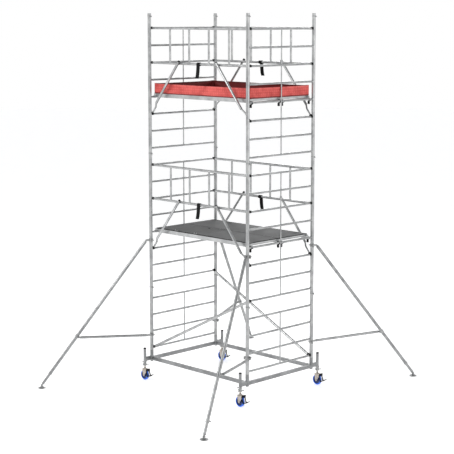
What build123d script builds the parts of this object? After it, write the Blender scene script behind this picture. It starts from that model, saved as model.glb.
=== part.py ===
"""Mobile tower scaffold: three ladder frame levels on a castor base, two
platform levels, four guardrails, two braces and four telescopic outriggers.

Frame: X along the platforms, Y across the ladder frames, Z up, with the origin
on the floor under the middle of the tower.  All sizes are in millimetres.
"""
from build123d import *
from math import atan2, cos, degrees, radians, sin
import os

os.makedirs("parts", exist_ok=True)

# ---------------------------------------------------------------- driving sizes
# Tower
bay_length = 2000.0  # between the rung axes of the two ends
frame_width = 1340.0  # between the post axes of one frame
rung_pitch = 250.0
bottom_rung_height = 470.0  # axis of the lowest rung above the floor
rungs_per_level = {"lower": 4, "middle": 8, "upper": 8}
frame_foot = 35.0  # from a frame's lower end up to its lowest rung

# Ladder frames
post_radius = 25.0
post_wall = 2.5
rung_radius = 15.0
rung_wall = 2.0
rod_radius = 9.0
rod_wall = 1.5
spigot_length = 110.0
spigot_clearance = 0.1

# Hook-on claws
claw_width = 28.0
claw_wall = 7.0
claw_lip = 12.0
claw_post_gap = 1.0

# Guardrails
rail_radius = 17.5
rail_wall = 2.0
bar_radius = 15.0
guard_bars = 4
rail_rungs = (2, 4)  # rungs above the platform's own rung
leg_rung = -1
leg_radius = 18.0
leg_tip_radius = 12.5
leg_top_x = 404.0  # each side of the middle, on the lower rail
leg_rise = 25.0  # how far a leg's top stands above the rail's axis
leg_joggle_at = 0.78
joggle_run = 75.0
leg_cap_length = 12.0
leg_claw_reach = 10.0
bolt_radius = 4.0

# Rail catches
catch_width = 56.0
catch_wall = 7.0
catch_drop = 215.0
catch_kick = 52.0
catch_tail = 14.0

# Platforms
platform_rungs = {"lower": 7, "upper": 15}
deck_rise = 60.0  # walking surface above the rung axis
deck_end_gap = 35.0  # from a rung's axis to the end of the deck
deck_thickness = 10.0
platform_side_gap = 22.0  # from the deck to the guardrail claws
platform_gap = 4.0
side_beam_width = 28.0
side_beam_height = 54.0
beam_wall = 2.5
cross_beam_width = 40.0
cross_beam_height = 30.0
platform_hook_width = 20.0

# Hatches
hatch_centre = -365.0
hatch_length = 600.0
hatch_gap = 3.0
hatch_rest_gap = 0.3
hatch_edge_margin = 44.0  # from the platform's outer edge to the hinge line
hatch_inner_margin = 48.0  # from the platform's inner edge to the door
hatch_pull_radius = 14.0
hatch_hinge_spacing = 400.0
hinge_leaf_length = 60.0
hinge_leaf_width = 24.0
hinge_leaf_thickness = 1.5
hinge_barrel_radius = 4.0
hinge_pin_radius = 2.0

# Platform locks, at the +X hooks only
lock_thickness = 8.0
lock_wall = 10.0
lock_tail = 34.0
lock_eye_radius = 10.0

# Toe boards
toe_height = 150.0
toe_thickness = 4.0
toe_side_overhang = 12.0  # outer faces beyond the deck's long edges
toe_end_overhang = 18.0  # and beyond its ends
toe_drop = 8.0  # foot below the walking surface
toe_clip_length = 34.0
toe_clip_height = 42.0
toe_clip_depth = 30.0

# Diagonal braces
brace_radius = 19.0
brace_wall = 2.0
brace_rungs = (0, 4)

# Base
base_beam_height = 50.0
base_beam_width = 30.0
base_beam_wall = 3.0
base_beam_axis = 305.0
stub_bottom = 270.0
sleeve_offset = 140.0  # castor axis outboard of the post axis
sleeve_radius = 20.0
sleeve_bore = 16.0
sleeve_bottom = 285.0
sleeve_top = 471.0
sleeve_cap_height = 14.0
nut_height = 70.0
nut_radius = 21.0
nut_handles = 3
nut_handle_reach = 60.0
nut_lug_reach = 42.0
nut_collar_step = 3.0  # collar at the nut's foot, where the handles start
nut_collar_height = 26.0
nut_handle_radius = 6.0
nut_handle_tilt = 0.12
nut_lug_radius = 6.5
bracket_rise = 12.0  # of the castor bracket above the base beams
stub_plug_drop = 8.0
stub_plug_step = 4.0

# Castors
wheel_radius = 75.0
tread_width = 40.0
hub_width = 46.0
hub_radius = 20.0
axle_radius = 6.0
spindle_radius = 13.0
spindle_top = 430.0
spindle_clearance = 0.3
fork_rise = 22.0  # from the top of the wheel to the top of the fork
fork_crown = 10.0
fork_plate = 4.0
fork_gap = 1.0
kingpin_radius = 6.0
pedal_setback = 13.0  # of the brake's pin inside the wheel's front
pedal_arm = 4.0

# Outriggers
outrigger_angle = 65.0  # in plan, from the X axis
outrigger_reach = 1680.0  # foot pivot from the post axis
upper_clamp_rung = 6
upper_clamp_offset = 130.0  # above that rung's axis
lower_clamp_rung = 1
lower_clamp_offset = -50.0
clamp_height = 44.0
clamp_wall = 6.2
clamp_clearance = 0.3
pivot_reach = 70.0  # pivots from the post axis
outer_tube_radius = 22.0
outer_tube_wall = 2.5
strut_radius = 18.0
strut_wall = 2.0
strut_side_offset = 46.0
strut_joint_at = 0.665  # along the tube, from the top pivot to the foot
strut_joint_drop = 20.0
leg_tube_clearance = 0.4
leg_tube_wall = 2.0
leg_tube_inside = 560.0
outer_tube_end = 190.0  # left between the tube's lower end and the foot pivot
foot_pivot_height = 45.0
foot_radius = 55.0
pin_radius = 5.0
pin_clearance = 0.1
eye_radius = 13.0
tongue = 12.0
cheek = 6.0
side_gap = 0.4

# ---------------------------------------------------------------- worked out
half_length = bay_length / 2
half_width = frame_width / 2
deck_half_length = half_length - deck_end_gap
fork_top = 2 * wheel_radius + fork_rise
pedal_pivot = (wheel_radius - pedal_setback, 2 * wheel_radius)  # along X, and Z
post_bore = post_radius - post_wall
claw_y = half_width - post_radius - claw_post_gap - claw_width / 2
claw_outer = rung_radius + claw_wall
CORNERS = {
    "front_left": (-1, -1),
    "front_right": (1, -1),
    "back_right": (1, 1),
    "back_left": (-1, 1),
}


def rung_height(index):
    """Axis of a rung, counted from 0 at the bottom of the tower."""
    return bottom_rung_height + index * rung_pitch


upper_clamp_height = rung_height(upper_clamp_rung) + upper_clamp_offset
lower_clamp_height = rung_height(lower_clamp_rung) + lower_clamp_offset


def write_node(label, pieces):
    """Export the pieces as one node, each piece a solid of its own."""
    solids = [solid for piece in pieces for solid in piece.solids()]
    node = Compound(solids)
    node.label = label
    export_step(node, f"parts/{label}.step")


# ---------------------------------------------------------------- basic pieces
def bar(start, end, radius, wall=0.0, cuts=()):
    """Round bar, or tube if it has a wall, with other shapes cut away from it."""
    run = Vector(end) - Vector(start)
    with BuildPart() as piece:
        with BuildSketch(Plane(origin=start, z_dir=run)):
            Circle(radius)
            if wall > 0:
                Circle(radius - wall, mode=Mode.SUBTRACT)
        extrude(amount=run.length)
        for cut in cuts:
            add(cut, mode=Mode.SUBTRACT)
    return piece.part


def block(low, high, cuts=()):
    """Plain block between two corners, with other shapes cut away from it."""
    size = [high[i] - low[i] for i in range(3)]
    middle = tuple((high[i] + low[i]) / 2 for i in range(3))
    with BuildPart() as piece:
        with Locations(middle):
            Box(*size)
        for cut in cuts:
            add(cut, mode=Mode.SUBTRACT)
    return piece.part


def box_tube(start, end, width, height, wall, cuts=()):
    """Rectangular tube along a level line; height is measured along Z."""
    run = Vector(end) - Vector(start)
    across = Vector(0, 0, 1).cross(run)
    with BuildPart() as piece:
        with BuildSketch(Plane(origin=start, x_dir=across, z_dir=run)):
            Rectangle(width, height)
            Rectangle(width - 2 * wall, height - 2 * wall, mode=Mode.SUBTRACT)
        extrude(amount=run.length)
        for cut in cuts:
            add(cut, mode=Mode.SUBTRACT)
    return piece.part


def ring(centre, outer, inner, height):
    """Flat ring standing on centre, its axis along Z."""
    with BuildPart() as piece:
        with BuildSketch(Plane(origin=centre)):
            Circle(outer)
            Circle(inner, mode=Mode.SUBTRACT)
        extrude(amount=height)
    return piece.part


def plate_xz(points, y_low, y_high, rounds=(), holes=()):
    """Plate lying in XZ between two Y values.

    rounds are added discs and holes are cut ones, both as (x, z, radius).
    """
    with BuildPart() as piece:
        with BuildSketch(Plane.XZ.offset(-y_high)):
            if points:
                with BuildLine():
                    Polyline(*points, close=True)
                make_face()
            for x, z, radius in rounds:
                with Locations((x, z)):
                    Circle(radius)
            for x, z, radius in holes:
                with Locations((x, z)):
                    Circle(radius, mode=Mode.SUBTRACT)
        extrude(amount=y_high - y_low)
    return piece.part


def claw(tongue_reach, tongue_half, tongue_angle=0.0, tongue_lift=0.0, width=claw_width):
    """Saddle over a rung along Y, with a tongue towards +X turned up by an angle."""
    with BuildPart() as piece:
        with BuildSketch(Plane.XZ):
            Circle(claw_outer)
            Rectangle(2 * claw_outer, claw_lip, align=(Align.CENTER, Align.MAX))
            with Locations(Location((0, tongue_lift, 0), (0, 0, tongue_angle))):
                Rectangle(tongue_reach, 2 * tongue_half, align=(Align.MIN, Align.CENTER))
            Circle(rung_radius, mode=Mode.SUBTRACT)
            Rectangle(
                2 * rung_radius, 2 * claw_outer, align=(Align.CENTER, Align.MAX),
                mode=Mode.SUBTRACT,
            )
        extrude(amount=width / 2, both=True)
    return piece.part


def hex_bolt(start, end, radius, head=1.8, head_height=5.0):
    """Bolt with a hexagonal head at its start and a nut at its end."""
    run = Vector(end) - Vector(start)
    with BuildPart() as piece:
        with BuildSketch(Plane(origin=start, z_dir=run)):
            Circle(radius)
        extrude(amount=run.length)
        with BuildSketch(Plane(origin=start, z_dir=run)):
            RegularPolygon(radius * head, 6)
        extrude(amount=-head_height)
        with BuildSketch(Plane(origin=end, z_dir=run)):
            RegularPolygon(radius * head, 6)
        extrude(amount=head_height)
    return piece.part


# ---------------------------------------------------------------- ladder frames
def post(height):
    """Tube whose lower end is swaged down into a spigot for the frame below."""
    spigot_radius = post_bore - spigot_clearance
    spigot_bore = spigot_radius - post_wall
    with BuildPart() as piece:
        with BuildSketch(Plane.XZ):
            with BuildLine():
                Polyline(
                    (spigot_bore, -spigot_length),
                    (spigot_radius - 2, -spigot_length),
                    (spigot_radius, -spigot_length + 6),
                    (spigot_radius, 0),
                    (post_radius, 0),
                    (post_radius, height),
                    (post_bore, height),
                    (post_bore, post_wall),
                    (spigot_bore, post_wall),
                    close=True,
                )
            make_face()
        revolve(axis=Axis.Z)
    return piece.part


def frame_bottom(level):
    """Lower end of the posts of a level, where it seats on the one below."""
    below = 0
    for name, count in rungs_per_level.items():
        if name == level:
            break
        below += count
    return bottom_rung_height - frame_foot + below * rung_pitch


def ladder_frame(level):
    """Both end frames of a level: two posts, the rungs and the centre rod."""
    bottom = frame_bottom(level)
    count = rungs_per_level[level]
    one_post = post(count * rung_pitch)
    first = bottom + frame_foot
    post_cuts = [
        bar((0, side * half_width, first - 60), (0, side * half_width, first + 60), post_radius)
        for side in (-1, 1)
    ]
    rung = bar(
        (0, -half_width, first), (0, half_width, first), rung_radius, rung_wall, post_cuts
    )
    rung_cuts = [
        bar((0, -60, first + i * rung_pitch), (0, 60, first + i * rung_pitch), rung_radius)
        for i in (0, 1)
    ]
    rod = bar((0, 0, first), (0, 0, first + rung_pitch), rod_radius, rod_wall, rung_cuts)
    pieces = []
    for end in (-1, 1):
        x = end * half_length
        for side in (-1, 1):
            pieces.append(Pos(x, side * half_width, bottom) * one_post)
        for i in range(count):
            pieces.append(Pos(x, 0, i * rung_pitch) * rung)
        for i in range(count - 1):
            pieces.append(Pos(x, 0, i * rung_pitch) * rod)
    return pieces


def lock_clip():
    """Sprung clip round a post, with its pin and a finger tab towards +X."""
    with BuildPart() as piece:
        with BuildSketch(Plane.XY.offset(-7)):
            Circle(post_radius + 2.5)
            Circle(post_radius, mode=Mode.SUBTRACT)
            with Locations((-post_radius, 0)):
                Rectangle(24, 26, mode=Mode.SUBTRACT)
        extrude(amount=14)
        with BuildSketch(Plane.XZ):
            with BuildLine():
                Polyline(
                    (post_radius + 1, -6),
                    (post_radius + 20, -16),
                    (post_radius + 22, -12),
                    (post_radius + 8, 6),
                    (post_radius + 1, 6),
                    close=True,
                )
            make_face()
        extrude(amount=8, both=True)
    return piece.part


for level in rungs_per_level:
    write_node(f"frames_{level}", ladder_frame(level))

clip = lock_clip()
clip_heights = [
    frame_bottom(level) + count * rung_pitch - 40 for level, count in rungs_per_level.items()
]
write_node(
    "frame_lock_clips",
    [
        Pos(sx * half_length, sy * half_width, z) * clip
        for z in clip_heights
        for sx, sy in CORNERS.values()
    ],
)

# ---------------------------------------------------------------- base
stub_top = frame_bottom("lower")
sleeve_y = half_width + sleeve_offset
beam_high = base_beam_axis + base_beam_height / 2


def base_corner(sx, sy):
    """Stub post, castor sleeve and the bracket that joins them."""
    x = sx * half_length
    y = sy * half_width
    castor_y = sy * sleeve_y
    stub_solid = bar((x, y, stub_bottom), (x, y, stub_top), post_radius)
    sleeve_solid = bar((x, castor_y, sleeve_bottom), (x, castor_y, sleeve_top), sleeve_radius)
    bracket = block(
        (x - base_beam_width / 2, min(y, castor_y), sleeve_bottom),
        (x + base_beam_width / 2, max(y, castor_y), beam_high + bracket_rise),
        [stub_solid, sleeve_solid],
    )
    stub = bar((x, y, stub_bottom), (x, y, stub_top), post_radius, post_wall)
    sleeve = ring(
        (x, castor_y, sleeve_bottom), sleeve_radius, sleeve_bore, sleeve_top - sleeve_bottom
    )
    plug = bar(
        (x, y, stub_bottom - stub_plug_drop), (x, y, stub_bottom), post_radius - stub_plug_step
    )
    return [stub, sleeve, bracket, plug]


base_pieces = []
for sx, sy in CORNERS.values():
    base_pieces += base_corner(sx, sy)
stub_cuts = {
    (sx, sy): bar(
        (sx * half_length, sy * half_width, stub_bottom),
        (sx * half_length, sy * half_width, stub_top),
        post_radius,
    )
    for sx, sy in CORNERS.values()
}
for end in (-1, 1):
    base_pieces.append(
        box_tube(
            (end * half_length, -half_width, base_beam_axis),
            (end * half_length, half_width, base_beam_axis),
            base_beam_width, base_beam_height, base_beam_wall,
            [stub_cuts[(end, -1)], stub_cuts[(end, 1)]],
        )
    )
write_node("base_frames", base_pieces)

write_node(
    "base_side_beams",
    [
        box_tube(
            (-half_length, side * half_width, base_beam_axis),
            (half_length, side * half_width, base_beam_axis),
            base_beam_width, base_beam_height, base_beam_wall,
            [stub_cuts[(-1, side)], stub_cuts[(1, side)]],
        )
        for side in (-1, 1)
    ],
)

with BuildPart() as sleeve_cap:
    with BuildSketch():
        Circle(sleeve_radius + 1)
    extrude(amount=sleeve_cap_height)
    fillet(sleeve_cap.edges().group_by(Axis.Z)[-1], radius=5)
write_node(
    "sleeve_caps",
    [
        Pos(sx * half_length, sy * sleeve_y, sleeve_top) * sleeve_cap.part
        for sx, sy in CORNERS.values()
    ],
)


def adjusting_nut():
    """Cast nut under a sleeve, with long handles below and short lugs above."""
    bore = spindle_radius + spindle_clearance
    with BuildPart() as piece:
        with BuildSketch(Plane.XY):
            Circle(nut_radius + nut_collar_step)
        extrude(amount=nut_collar_height)
        with BuildSketch(Plane.XY):
            Circle(nut_radius)
        extrude(amount=nut_height)
        for i in range(nut_handles):
            turn = 45 + i * 360 / nut_handles
            arm = Plane(
                origin=(0, 0, nut_collar_height / 2),
                z_dir=(cos(radians(turn)), sin(radians(turn)), nut_handle_tilt),
            )
            with BuildSketch(arm):
                Circle(nut_handle_radius)
            extrude(amount=nut_handle_reach)
            lug_turn = turn + 180 / nut_handles
            lug = Plane(
                origin=(0, 0, nut_height - nut_collar_height / 2),
                z_dir=(cos(radians(lug_turn)), sin(radians(lug_turn)), 0),
            )
            with BuildSketch(lug):
                Circle(nut_lug_radius)
            extrude(amount=nut_lug_reach)
        with BuildSketch(Plane.XY):
            Circle(bore)
        extrude(amount=nut_height, mode=Mode.SUBTRACT)
    return piece.part


nut = adjusting_nut()
write_node(
    "adjusting_nuts",
    [
        Pos(sx * half_length, sy * sleeve_y, sleeve_bottom - nut_height) * nut
        for sx, sy in CORNERS.values()
    ],
)


# ---------------------------------------------------------------- castors
def castor_spindle():
    """Spindle with its guide collar on top and its kingpin below."""
    collar = sleeve_bore - spindle_clearance
    head_radius = kingpin_radius + 5
    head_top = fork_top - fork_crown - 4 - spindle_clearance
    with BuildPart() as piece:
        with BuildSketch(Plane.XZ):
            with BuildLine():
                Polyline(
                    (0, head_top - 4),
                    (head_radius, head_top - 4),
                    (head_radius, head_top),
                    (kingpin_radius, head_top),
                    (kingpin_radius, fork_top),
                    (spindle_radius + 4, fork_top),
                    (spindle_radius + 4, fork_top + 6),
                    (spindle_radius, fork_top + 6),
                    (spindle_radius, spindle_top - 22),
                    (collar, spindle_top - 20),
                    (collar, spindle_top),
                    (0, spindle_top),
                    close=True,
                )
            make_face()
        revolve(axis=Axis.Z)
    return piece.part


def castor_fork():
    """Crown and two side plates, with the ears that carry the brake pedal."""
    crown_top = fork_top - spindle_clearance
    crown_bottom = fork_top - fork_crown - 4
    inner = hub_width / 2 + fork_gap
    outer = inner + fork_plate
    px, pz = pedal_pivot
    with BuildPart() as piece:
        with BuildSketch(Plane.XY.offset(crown_bottom)):
            Circle(outer + 8)
            with Locations((18, 0)):
                Rectangle(36, 2 * outer)
        extrude(amount=fork_crown)
        with BuildSketch(Plane.XY.offset(crown_bottom)):
            Circle(24)
        extrude(amount=crown_top - crown_bottom)
        for low in (-outer, inner):
            plate = plate_xz(
                [
                    (-34, crown_bottom + fork_crown),
                    (px - 6, crown_bottom + fork_crown),
                    (px + 10, pz),
                    (px, pz - 11),
                    (18, wheel_radius),
                    (-18, wheel_radius),
                ],
                low, low + fork_plate,
                rounds=[(0, wheel_radius, 19), (px, pz, 11)],
                holes=[(px, pz, bolt_radius + spindle_clearance)],
            )
            add(plate)
        with BuildSketch(Plane.XY.offset(crown_bottom)):
            Circle(kingpin_radius + spindle_clearance)
        extrude(amount=crown_top - crown_bottom, mode=Mode.SUBTRACT)
    axle = hex_bolt(
        (0, -outer, wheel_radius), (0, outer, wheel_radius), axle_radius, head=1.7
    )
    return [piece.part - axle, axle]


def castor_wheel():
    """Rolled section about the axle: hub, web, rim and rounded tread."""
    half_tread = tread_width / 2
    half_hub = hub_width / 2
    bore = axle_radius + pin_clearance
    rim = wheel_radius - 17
    with BuildPart() as piece:
        with BuildSketch(Plane.YZ):
            with BuildLine():
                Polyline(
                    (half_tread - 9, wheel_radius),
                    (-half_tread + 9, wheel_radius),
                )
                RadiusArc((-half_tread + 9, wheel_radius), (-half_tread, wheel_radius - 9), -9)
                Polyline(
                    (-half_tread, wheel_radius - 9),
                    (-half_tread, rim),
                    (-7, rim - 8),
                    (-7, hub_radius + 6),
                    (-half_hub, hub_radius),
                    (-half_hub, bore),
                    (half_hub, bore),
                    (half_hub, hub_radius),
                    (7, hub_radius + 6),
                    (7, rim - 8),
                    (half_tread, rim),
                    (half_tread, wheel_radius - 9),
                )
                RadiusArc((half_tread, wheel_radius - 9), (half_tread - 9, wheel_radius), -9)
            make_face()
        revolve(axis=Axis.Y)
    return Pos(0, 0, wheel_radius) * piece.part


def castor_pedal():
    """Brake rocker: two arms on a pin, the foot pedal and the release tab."""
    px, pz = pedal_pivot
    inner = hub_width / 2 + fork_gap + fork_plate + 0.6
    outer = inner + pedal_arm
    with BuildPart() as piece:
        for low in (-outer, inner):
            arm = plate_xz(
                [
                    (px - 9, pz), (px + 2, pz + 24), (px + 16, pz + 24), (px + 12, pz - 20),
                    (px + 34, 72), (px + 34, 58), (px + 18, 54), (px - 4, pz - 30),
                ],
                low, low + pedal_arm,
                rounds=[(px, pz, 9)],
            )
            add(arm)
        tread = plate_xz(
            [
                (px + 22, 56), (px + 48, 66), (px + 96, 98), (px + 94, 104),
                (px + 46, 76), (px + 20, 66),
            ],
            -outer, outer,
        )
        add(tread)
        tab = plate_xz(
            [(px + 2, pz + 19), (px + 2, pz + 24), (px + 16, pz + 24), (px + 20, pz + 19)],
            -outer, outer,
        )
        add(tab)
        add(bar((px, -outer, pz), (px, outer, pz), bolt_radius))
    return piece.part


spindle = castor_spindle()
fork = castor_fork()
wheel = castor_wheel()
pedal = castor_pedal()
for corner, (sx, sy) in CORNERS.items():
    place = Pos(sx * half_length, sy * sleeve_y, 0)
    write_node(f"castor_{corner}_spindle", [place * spindle])
    write_node(f"castor_{corner}_fork", [place * solid for solid in fork])
    write_node(f"castor_{corner}_wheel", [place * wheel])
    write_node(f"castor_{corner}_pedal", [place * pedal])

# ---------------------------------------------------------------- guardrails
rail_claw_reach = claw_outer + 14
leg_y = claw_y + rail_radius + leg_radius
claws_and_caps = []


def guard_leg(rail_z, foot_z, bolt):
    """Leg towards +X beside the lower rail, stepping in to a slimmer tip."""
    rise = (rail_z - foot_z) / (half_length - leg_top_x)
    slope = atan2(rail_z - foot_z, half_length - leg_top_x)
    top = Vector(leg_top_x - leg_rise / rise, leg_y, rail_z + leg_rise)
    joggle_x = leg_top_x + leg_joggle_at * (half_length - leg_top_x)
    joggle = Vector(joggle_x, leg_y, rail_z - (joggle_x - leg_top_x) * rise)
    stepped_x = joggle_x + joggle_run * cos(slope)
    stepped = Vector(stepped_x, claw_y, rail_z - (stepped_x - leg_top_x) * rise)
    reach = claw_outer + leg_claw_reach
    tip = Vector(half_length - reach * cos(slope), claw_y, foot_z + reach * sin(slope))
    upper = bar(top, joggle, leg_radius, rail_wall, [bolt])
    with BuildPart() as lower:
        add(bar(joggle, stepped, leg_tip_radius))
        add(bar(stepped, tip, leg_tip_radius))
        with Locations(stepped):
            Sphere(leg_tip_radius)
        add(bar(top, joggle, leg_radius), mode=Mode.SUBTRACT)
    foot_claw = Rot(0, 0, 180) * claw(reach, leg_tip_radius, degrees(slope))
    cap_end = top + (top - joggle).normalized() * leg_cap_length
    cap = bar(top, cap_end, leg_radius)
    return [upper, lower.part], [Pos(half_length, claw_y, foot_z) * foot_claw, cap]


def guardrail():
    """Back guardrail above a platform rung at height 0: its tubes, then its mouldings."""
    low, high = [step * rung_pitch for step in rail_rungs]
    end = half_length - rail_claw_reach
    bolt = hex_bolt(
        (leg_top_x, claw_y - rail_radius, low), (leg_top_x, leg_y + leg_radius, low), bolt_radius
    )
    bolts = [bolt, mirror(bolt, about=Plane.YZ)]
    tubes = list(bolts)
    tubes.append(bar((-end, claw_y, low), (end, claw_y, low), rail_radius, rail_wall, bolts))
    tubes.append(bar((-end, claw_y, high), (end, claw_y, high), rail_radius, rail_wall))
    rail_solids = [bar((-end, claw_y, z), (end, claw_y, z), rail_radius) for z in (low, high)]
    for i in range(guard_bars):
        x = bay_length * ((i + 1) / (guard_bars + 1) - 0.5)
        tubes.append(
            bar((x, claw_y, low), (x, claw_y, high), bar_radius, rail_wall, rail_solids)
        )
    leg, mouldings = guard_leg(low, leg_rung * rung_pitch, bolt)
    tubes += leg + [mirror(piece, about=Plane.YZ) for piece in leg]
    for z in (low, high):
        rail_claw = Rot(0, 0, 180) * claw(rail_claw_reach, rail_radius - 1)
        mouldings.append(Pos(half_length, claw_y, z) * rail_claw)
    mouldings += [mirror(piece, about=Plane.YZ) for piece in mouldings]
    return tubes, mouldings


rail_tubes, rail_mouldings = guardrail()
for level, base in platform_rungs.items():
    lift = Pos(0, 0, rung_height(base))
    back_tubes = [lift * piece for piece in rail_tubes]
    back_mouldings = [lift * piece for piece in rail_mouldings]
    front_tubes = [mirror(piece, about=Plane.XZ) for piece in back_tubes]
    claws_and_caps += back_mouldings
    claws_and_caps += [mirror(piece, about=Plane.XZ) for piece in back_mouldings]
    write_node(f"guardrails_{level}", back_tubes + front_tubes)


def rail_catch(side):
    """Moulded catch round a rail, its tail hanging down and kicked outboard."""
    bore = rail_radius + clamp_clearance
    outer = bore + catch_wall
    with BuildPart() as piece:
        with BuildSketch(Plane.YZ):
            with BuildLine():
                Spline(
                    (outer - catch_tail, -8), (outer + 4 - catch_tail, -catch_drop * 0.45),
                    (catch_kick - catch_tail, -catch_drop * 0.93),
                    tangents=((0, -1), (0.45, -1)),
                )
                Line(
                    (catch_kick - catch_tail, -catch_drop * 0.93),
                    (catch_kick, -catch_drop * 0.93),
                )
                Spline(
                    (catch_kick, -catch_drop * 0.93), (outer + 5, -catch_drop * 0.45),
                    (outer, -8),
                    tangents=((-0.45, 1), (0, 1)),
                )
                Line((outer, -8), (outer - catch_tail, -8))
            make_face()
            Circle(outer)
            Circle(bore, mode=Mode.SUBTRACT)
        extrude(amount=catch_width / 2, both=True)
    if side < 0:
        return Rot(0, 0, 180) * piece.part
    return piece.part


for level, base in platform_rungs.items():
    for name, side in (("front", -1), ("back", 1)):
        centre = Pos(0, side * claw_y, rung_height(base + rail_rungs[0]))
        write_node(f"rail_catch_{level}_{name}", [centre * rail_catch(side)])

# ---------------------------------------------------------------- braces
brace_low, brace_high = [rung_height(index) for index in brace_rungs]
brace_slope = atan2(brace_high - brace_low, bay_length)
brace_reach = claw_outer + 16
brace_dx = brace_reach * cos(brace_slope)
brace_dz = brace_reach * sin(brace_slope)
braces = []
for side in (-1, 1):
    lean = -side  # the front brace rises towards +X, the back one towards -X
    foot_x = -lean * half_length
    head_x = lean * half_length
    y = side * claw_y
    braces.append(
        bar(
            (foot_x + lean * brace_dx, y, brace_low + brace_dz),
            (head_x - lean * brace_dx, y, brace_high - brace_dz),
            brace_radius, brace_wall,
        )
    )
    facing = Rot(0, 0, 0) if lean > 0 else Rot(0, 0, 180)
    opposite = Rot(0, 0, 180) if lean > 0 else Rot(0, 0, 0)
    up_claw = claw(brace_reach, brace_radius - 1, degrees(brace_slope))
    down_claw = claw(brace_reach, brace_radius - 1, -degrees(brace_slope))
    claws_and_caps.append(Pos(foot_x, y, brace_low) * facing * up_claw)
    claws_and_caps.append(Pos(head_x, y, brace_high) * opposite * down_claw)
write_node("diagonal_braces", braces)
write_node("rail_claws", claws_and_caps)

# ---------------------------------------------------------------- platforms
inner_edge = platform_gap / 2
outer_edge = claw_y - claw_width / 2 - platform_side_gap
hinge_y = outer_edge - hatch_edge_margin
hatch_low_x = hatch_centre - hatch_length / 2
hatch_high_x = hatch_centre + hatch_length / 2
hatch_inner_y = inner_edge + hatch_inner_margin


def platform_frame(level, side):
    """Two side beams, cross beams under the board and four hooks on the rungs."""
    rung_z = rung_height(platform_rungs[level])
    board_low = rung_z + deck_rise - deck_thickness
    beam_axis = board_low - side_beam_height / 2
    inner_beam_y = inner_edge + side_beam_width / 2
    outer_beam_y = outer_edge - side_beam_width / 2
    inner_hook_y = rod_radius + claw_post_gap + platform_hook_width / 2
    pieces = []
    for y, hook_y in ((inner_beam_y, inner_hook_y), (outer_beam_y, outer_beam_y)):
        pieces.append(
            box_tube(
                (-deck_half_length, side * y, beam_axis), (deck_half_length, side * y, beam_axis),
                side_beam_width, side_beam_height, beam_wall,
            )
        )
        for end in (-1, 1):
            pieces.append(platform_hook(end, side * hook_y, rung_z, board_low))
    edge = cross_beam_width / 2
    cross_xs = [
        -deck_half_length + edge,
        hatch_low_x - 6,
        hatch_high_x + 6,
        (hatch_high_x + deck_half_length) / 2,
        deck_half_length - edge,
    ]
    cross_axis = board_low - cross_beam_height / 2
    for x in cross_xs:
        pieces.append(
            box_tube(
                (x, side * (inner_edge + side_beam_width), cross_axis),
                (x, side * (outer_edge - side_beam_width), cross_axis),
                cross_beam_width, cross_beam_height, beam_wall,
            )
        )
    return pieces


def platform_hook(end, y, rung_z, board_low):
    """Saddle over the rung, with its shank against the end of a side beam."""
    reach = half_length - deck_half_length
    with BuildPart() as piece:
        with BuildSketch(Plane.XZ):
            Circle(claw_outer)
            Rectangle(2 * claw_outer, claw_lip, align=(Align.CENTER, Align.MAX))
            Rectangle(reach, board_low - rung_z, align=(Align.MIN, Align.MIN))
            Circle(rung_radius, mode=Mode.SUBTRACT)
            Rectangle(
                2 * rung_radius, 2 * claw_outer, align=(Align.CENTER, Align.MAX),
                mode=Mode.SUBTRACT,
            )
        extrude(amount=platform_hook_width / 2, both=True)
    turn = Rot(0, 0, 0) if end < 0 else Rot(0, 0, 180)
    return Pos(end * half_length, y, rung_z) * turn * piece.part


def deck_board(level, side):
    """Phenolic board of one platform; the front one has the hatch opening."""
    top = rung_height(platform_rungs[level]) + deck_rise
    ys = sorted((side * inner_edge, side * outer_edge))
    opening = block(
        (hatch_low_x - hatch_gap, -hinge_y - hatch_gap, top - deck_thickness),
        (hatch_high_x + hatch_gap, -hatch_inner_y + hatch_gap, top),
    )
    low = (-deck_half_length, ys[0], top - deck_thickness)
    high = (deck_half_length, ys[1], top)
    return block(low, high, [opening] if side < 0 else ())


def hinge_leaf(x, side_of_line, knuckles, bore):
    """Leaf lying on the walking surface, with its knuckles round the hinge line.

    side_of_line is -1 for the leaf on the deck board and 1 for the one on the
    door; knuckles are the (start, end) of each along X, from the leaf's middle.
    """
    half = hinge_leaf_length / 2
    ys = sorted((side_of_line * hinge_barrel_radius * 0.9, side_of_line * hinge_leaf_width))
    line = hinge_barrel_radius
    with BuildPart() as piece:
        add(block((-half, ys[0], 0), (half, ys[1], hinge_leaf_thickness)))
        for start, end in knuckles:
            add(bar((start, 0, line), (end, 0, line), hinge_barrel_radius))
            root_ys = sorted((0, side_of_line * hinge_barrel_radius))
            add(block((start, root_ys[0], 0), (end, root_ys[1], hinge_leaf_thickness)))
        for start, end in knuckle_gaps(knuckles):
            add(
                bar((start, 0, line), (end, 0, line), hinge_barrel_radius + side_gap),
                mode=Mode.SUBTRACT,
            )
        add(bar((-half, 0, line), (half, 0, line), bore), mode=Mode.SUBTRACT)
    return Pos(x, -hinge_y, 0) * piece.part


def knuckle_gaps(knuckles):
    """Stretches of a leaf between and beside its knuckles."""
    edges = [-hinge_leaf_length / 2]
    for start, end in knuckles:
        edges += [start, end]
    edges.append(hinge_leaf_length / 2)
    pairs = [(edges[i], edges[i + 1]) for i in range(0, len(edges), 2)]
    return [(start, end) for start, end in pairs if end - start > 1]


hinge_third = hinge_leaf_length / 6
hinge_xs = [hatch_centre - hatch_hinge_spacing / 2, hatch_centre + hatch_hinge_spacing / 2]


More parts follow.
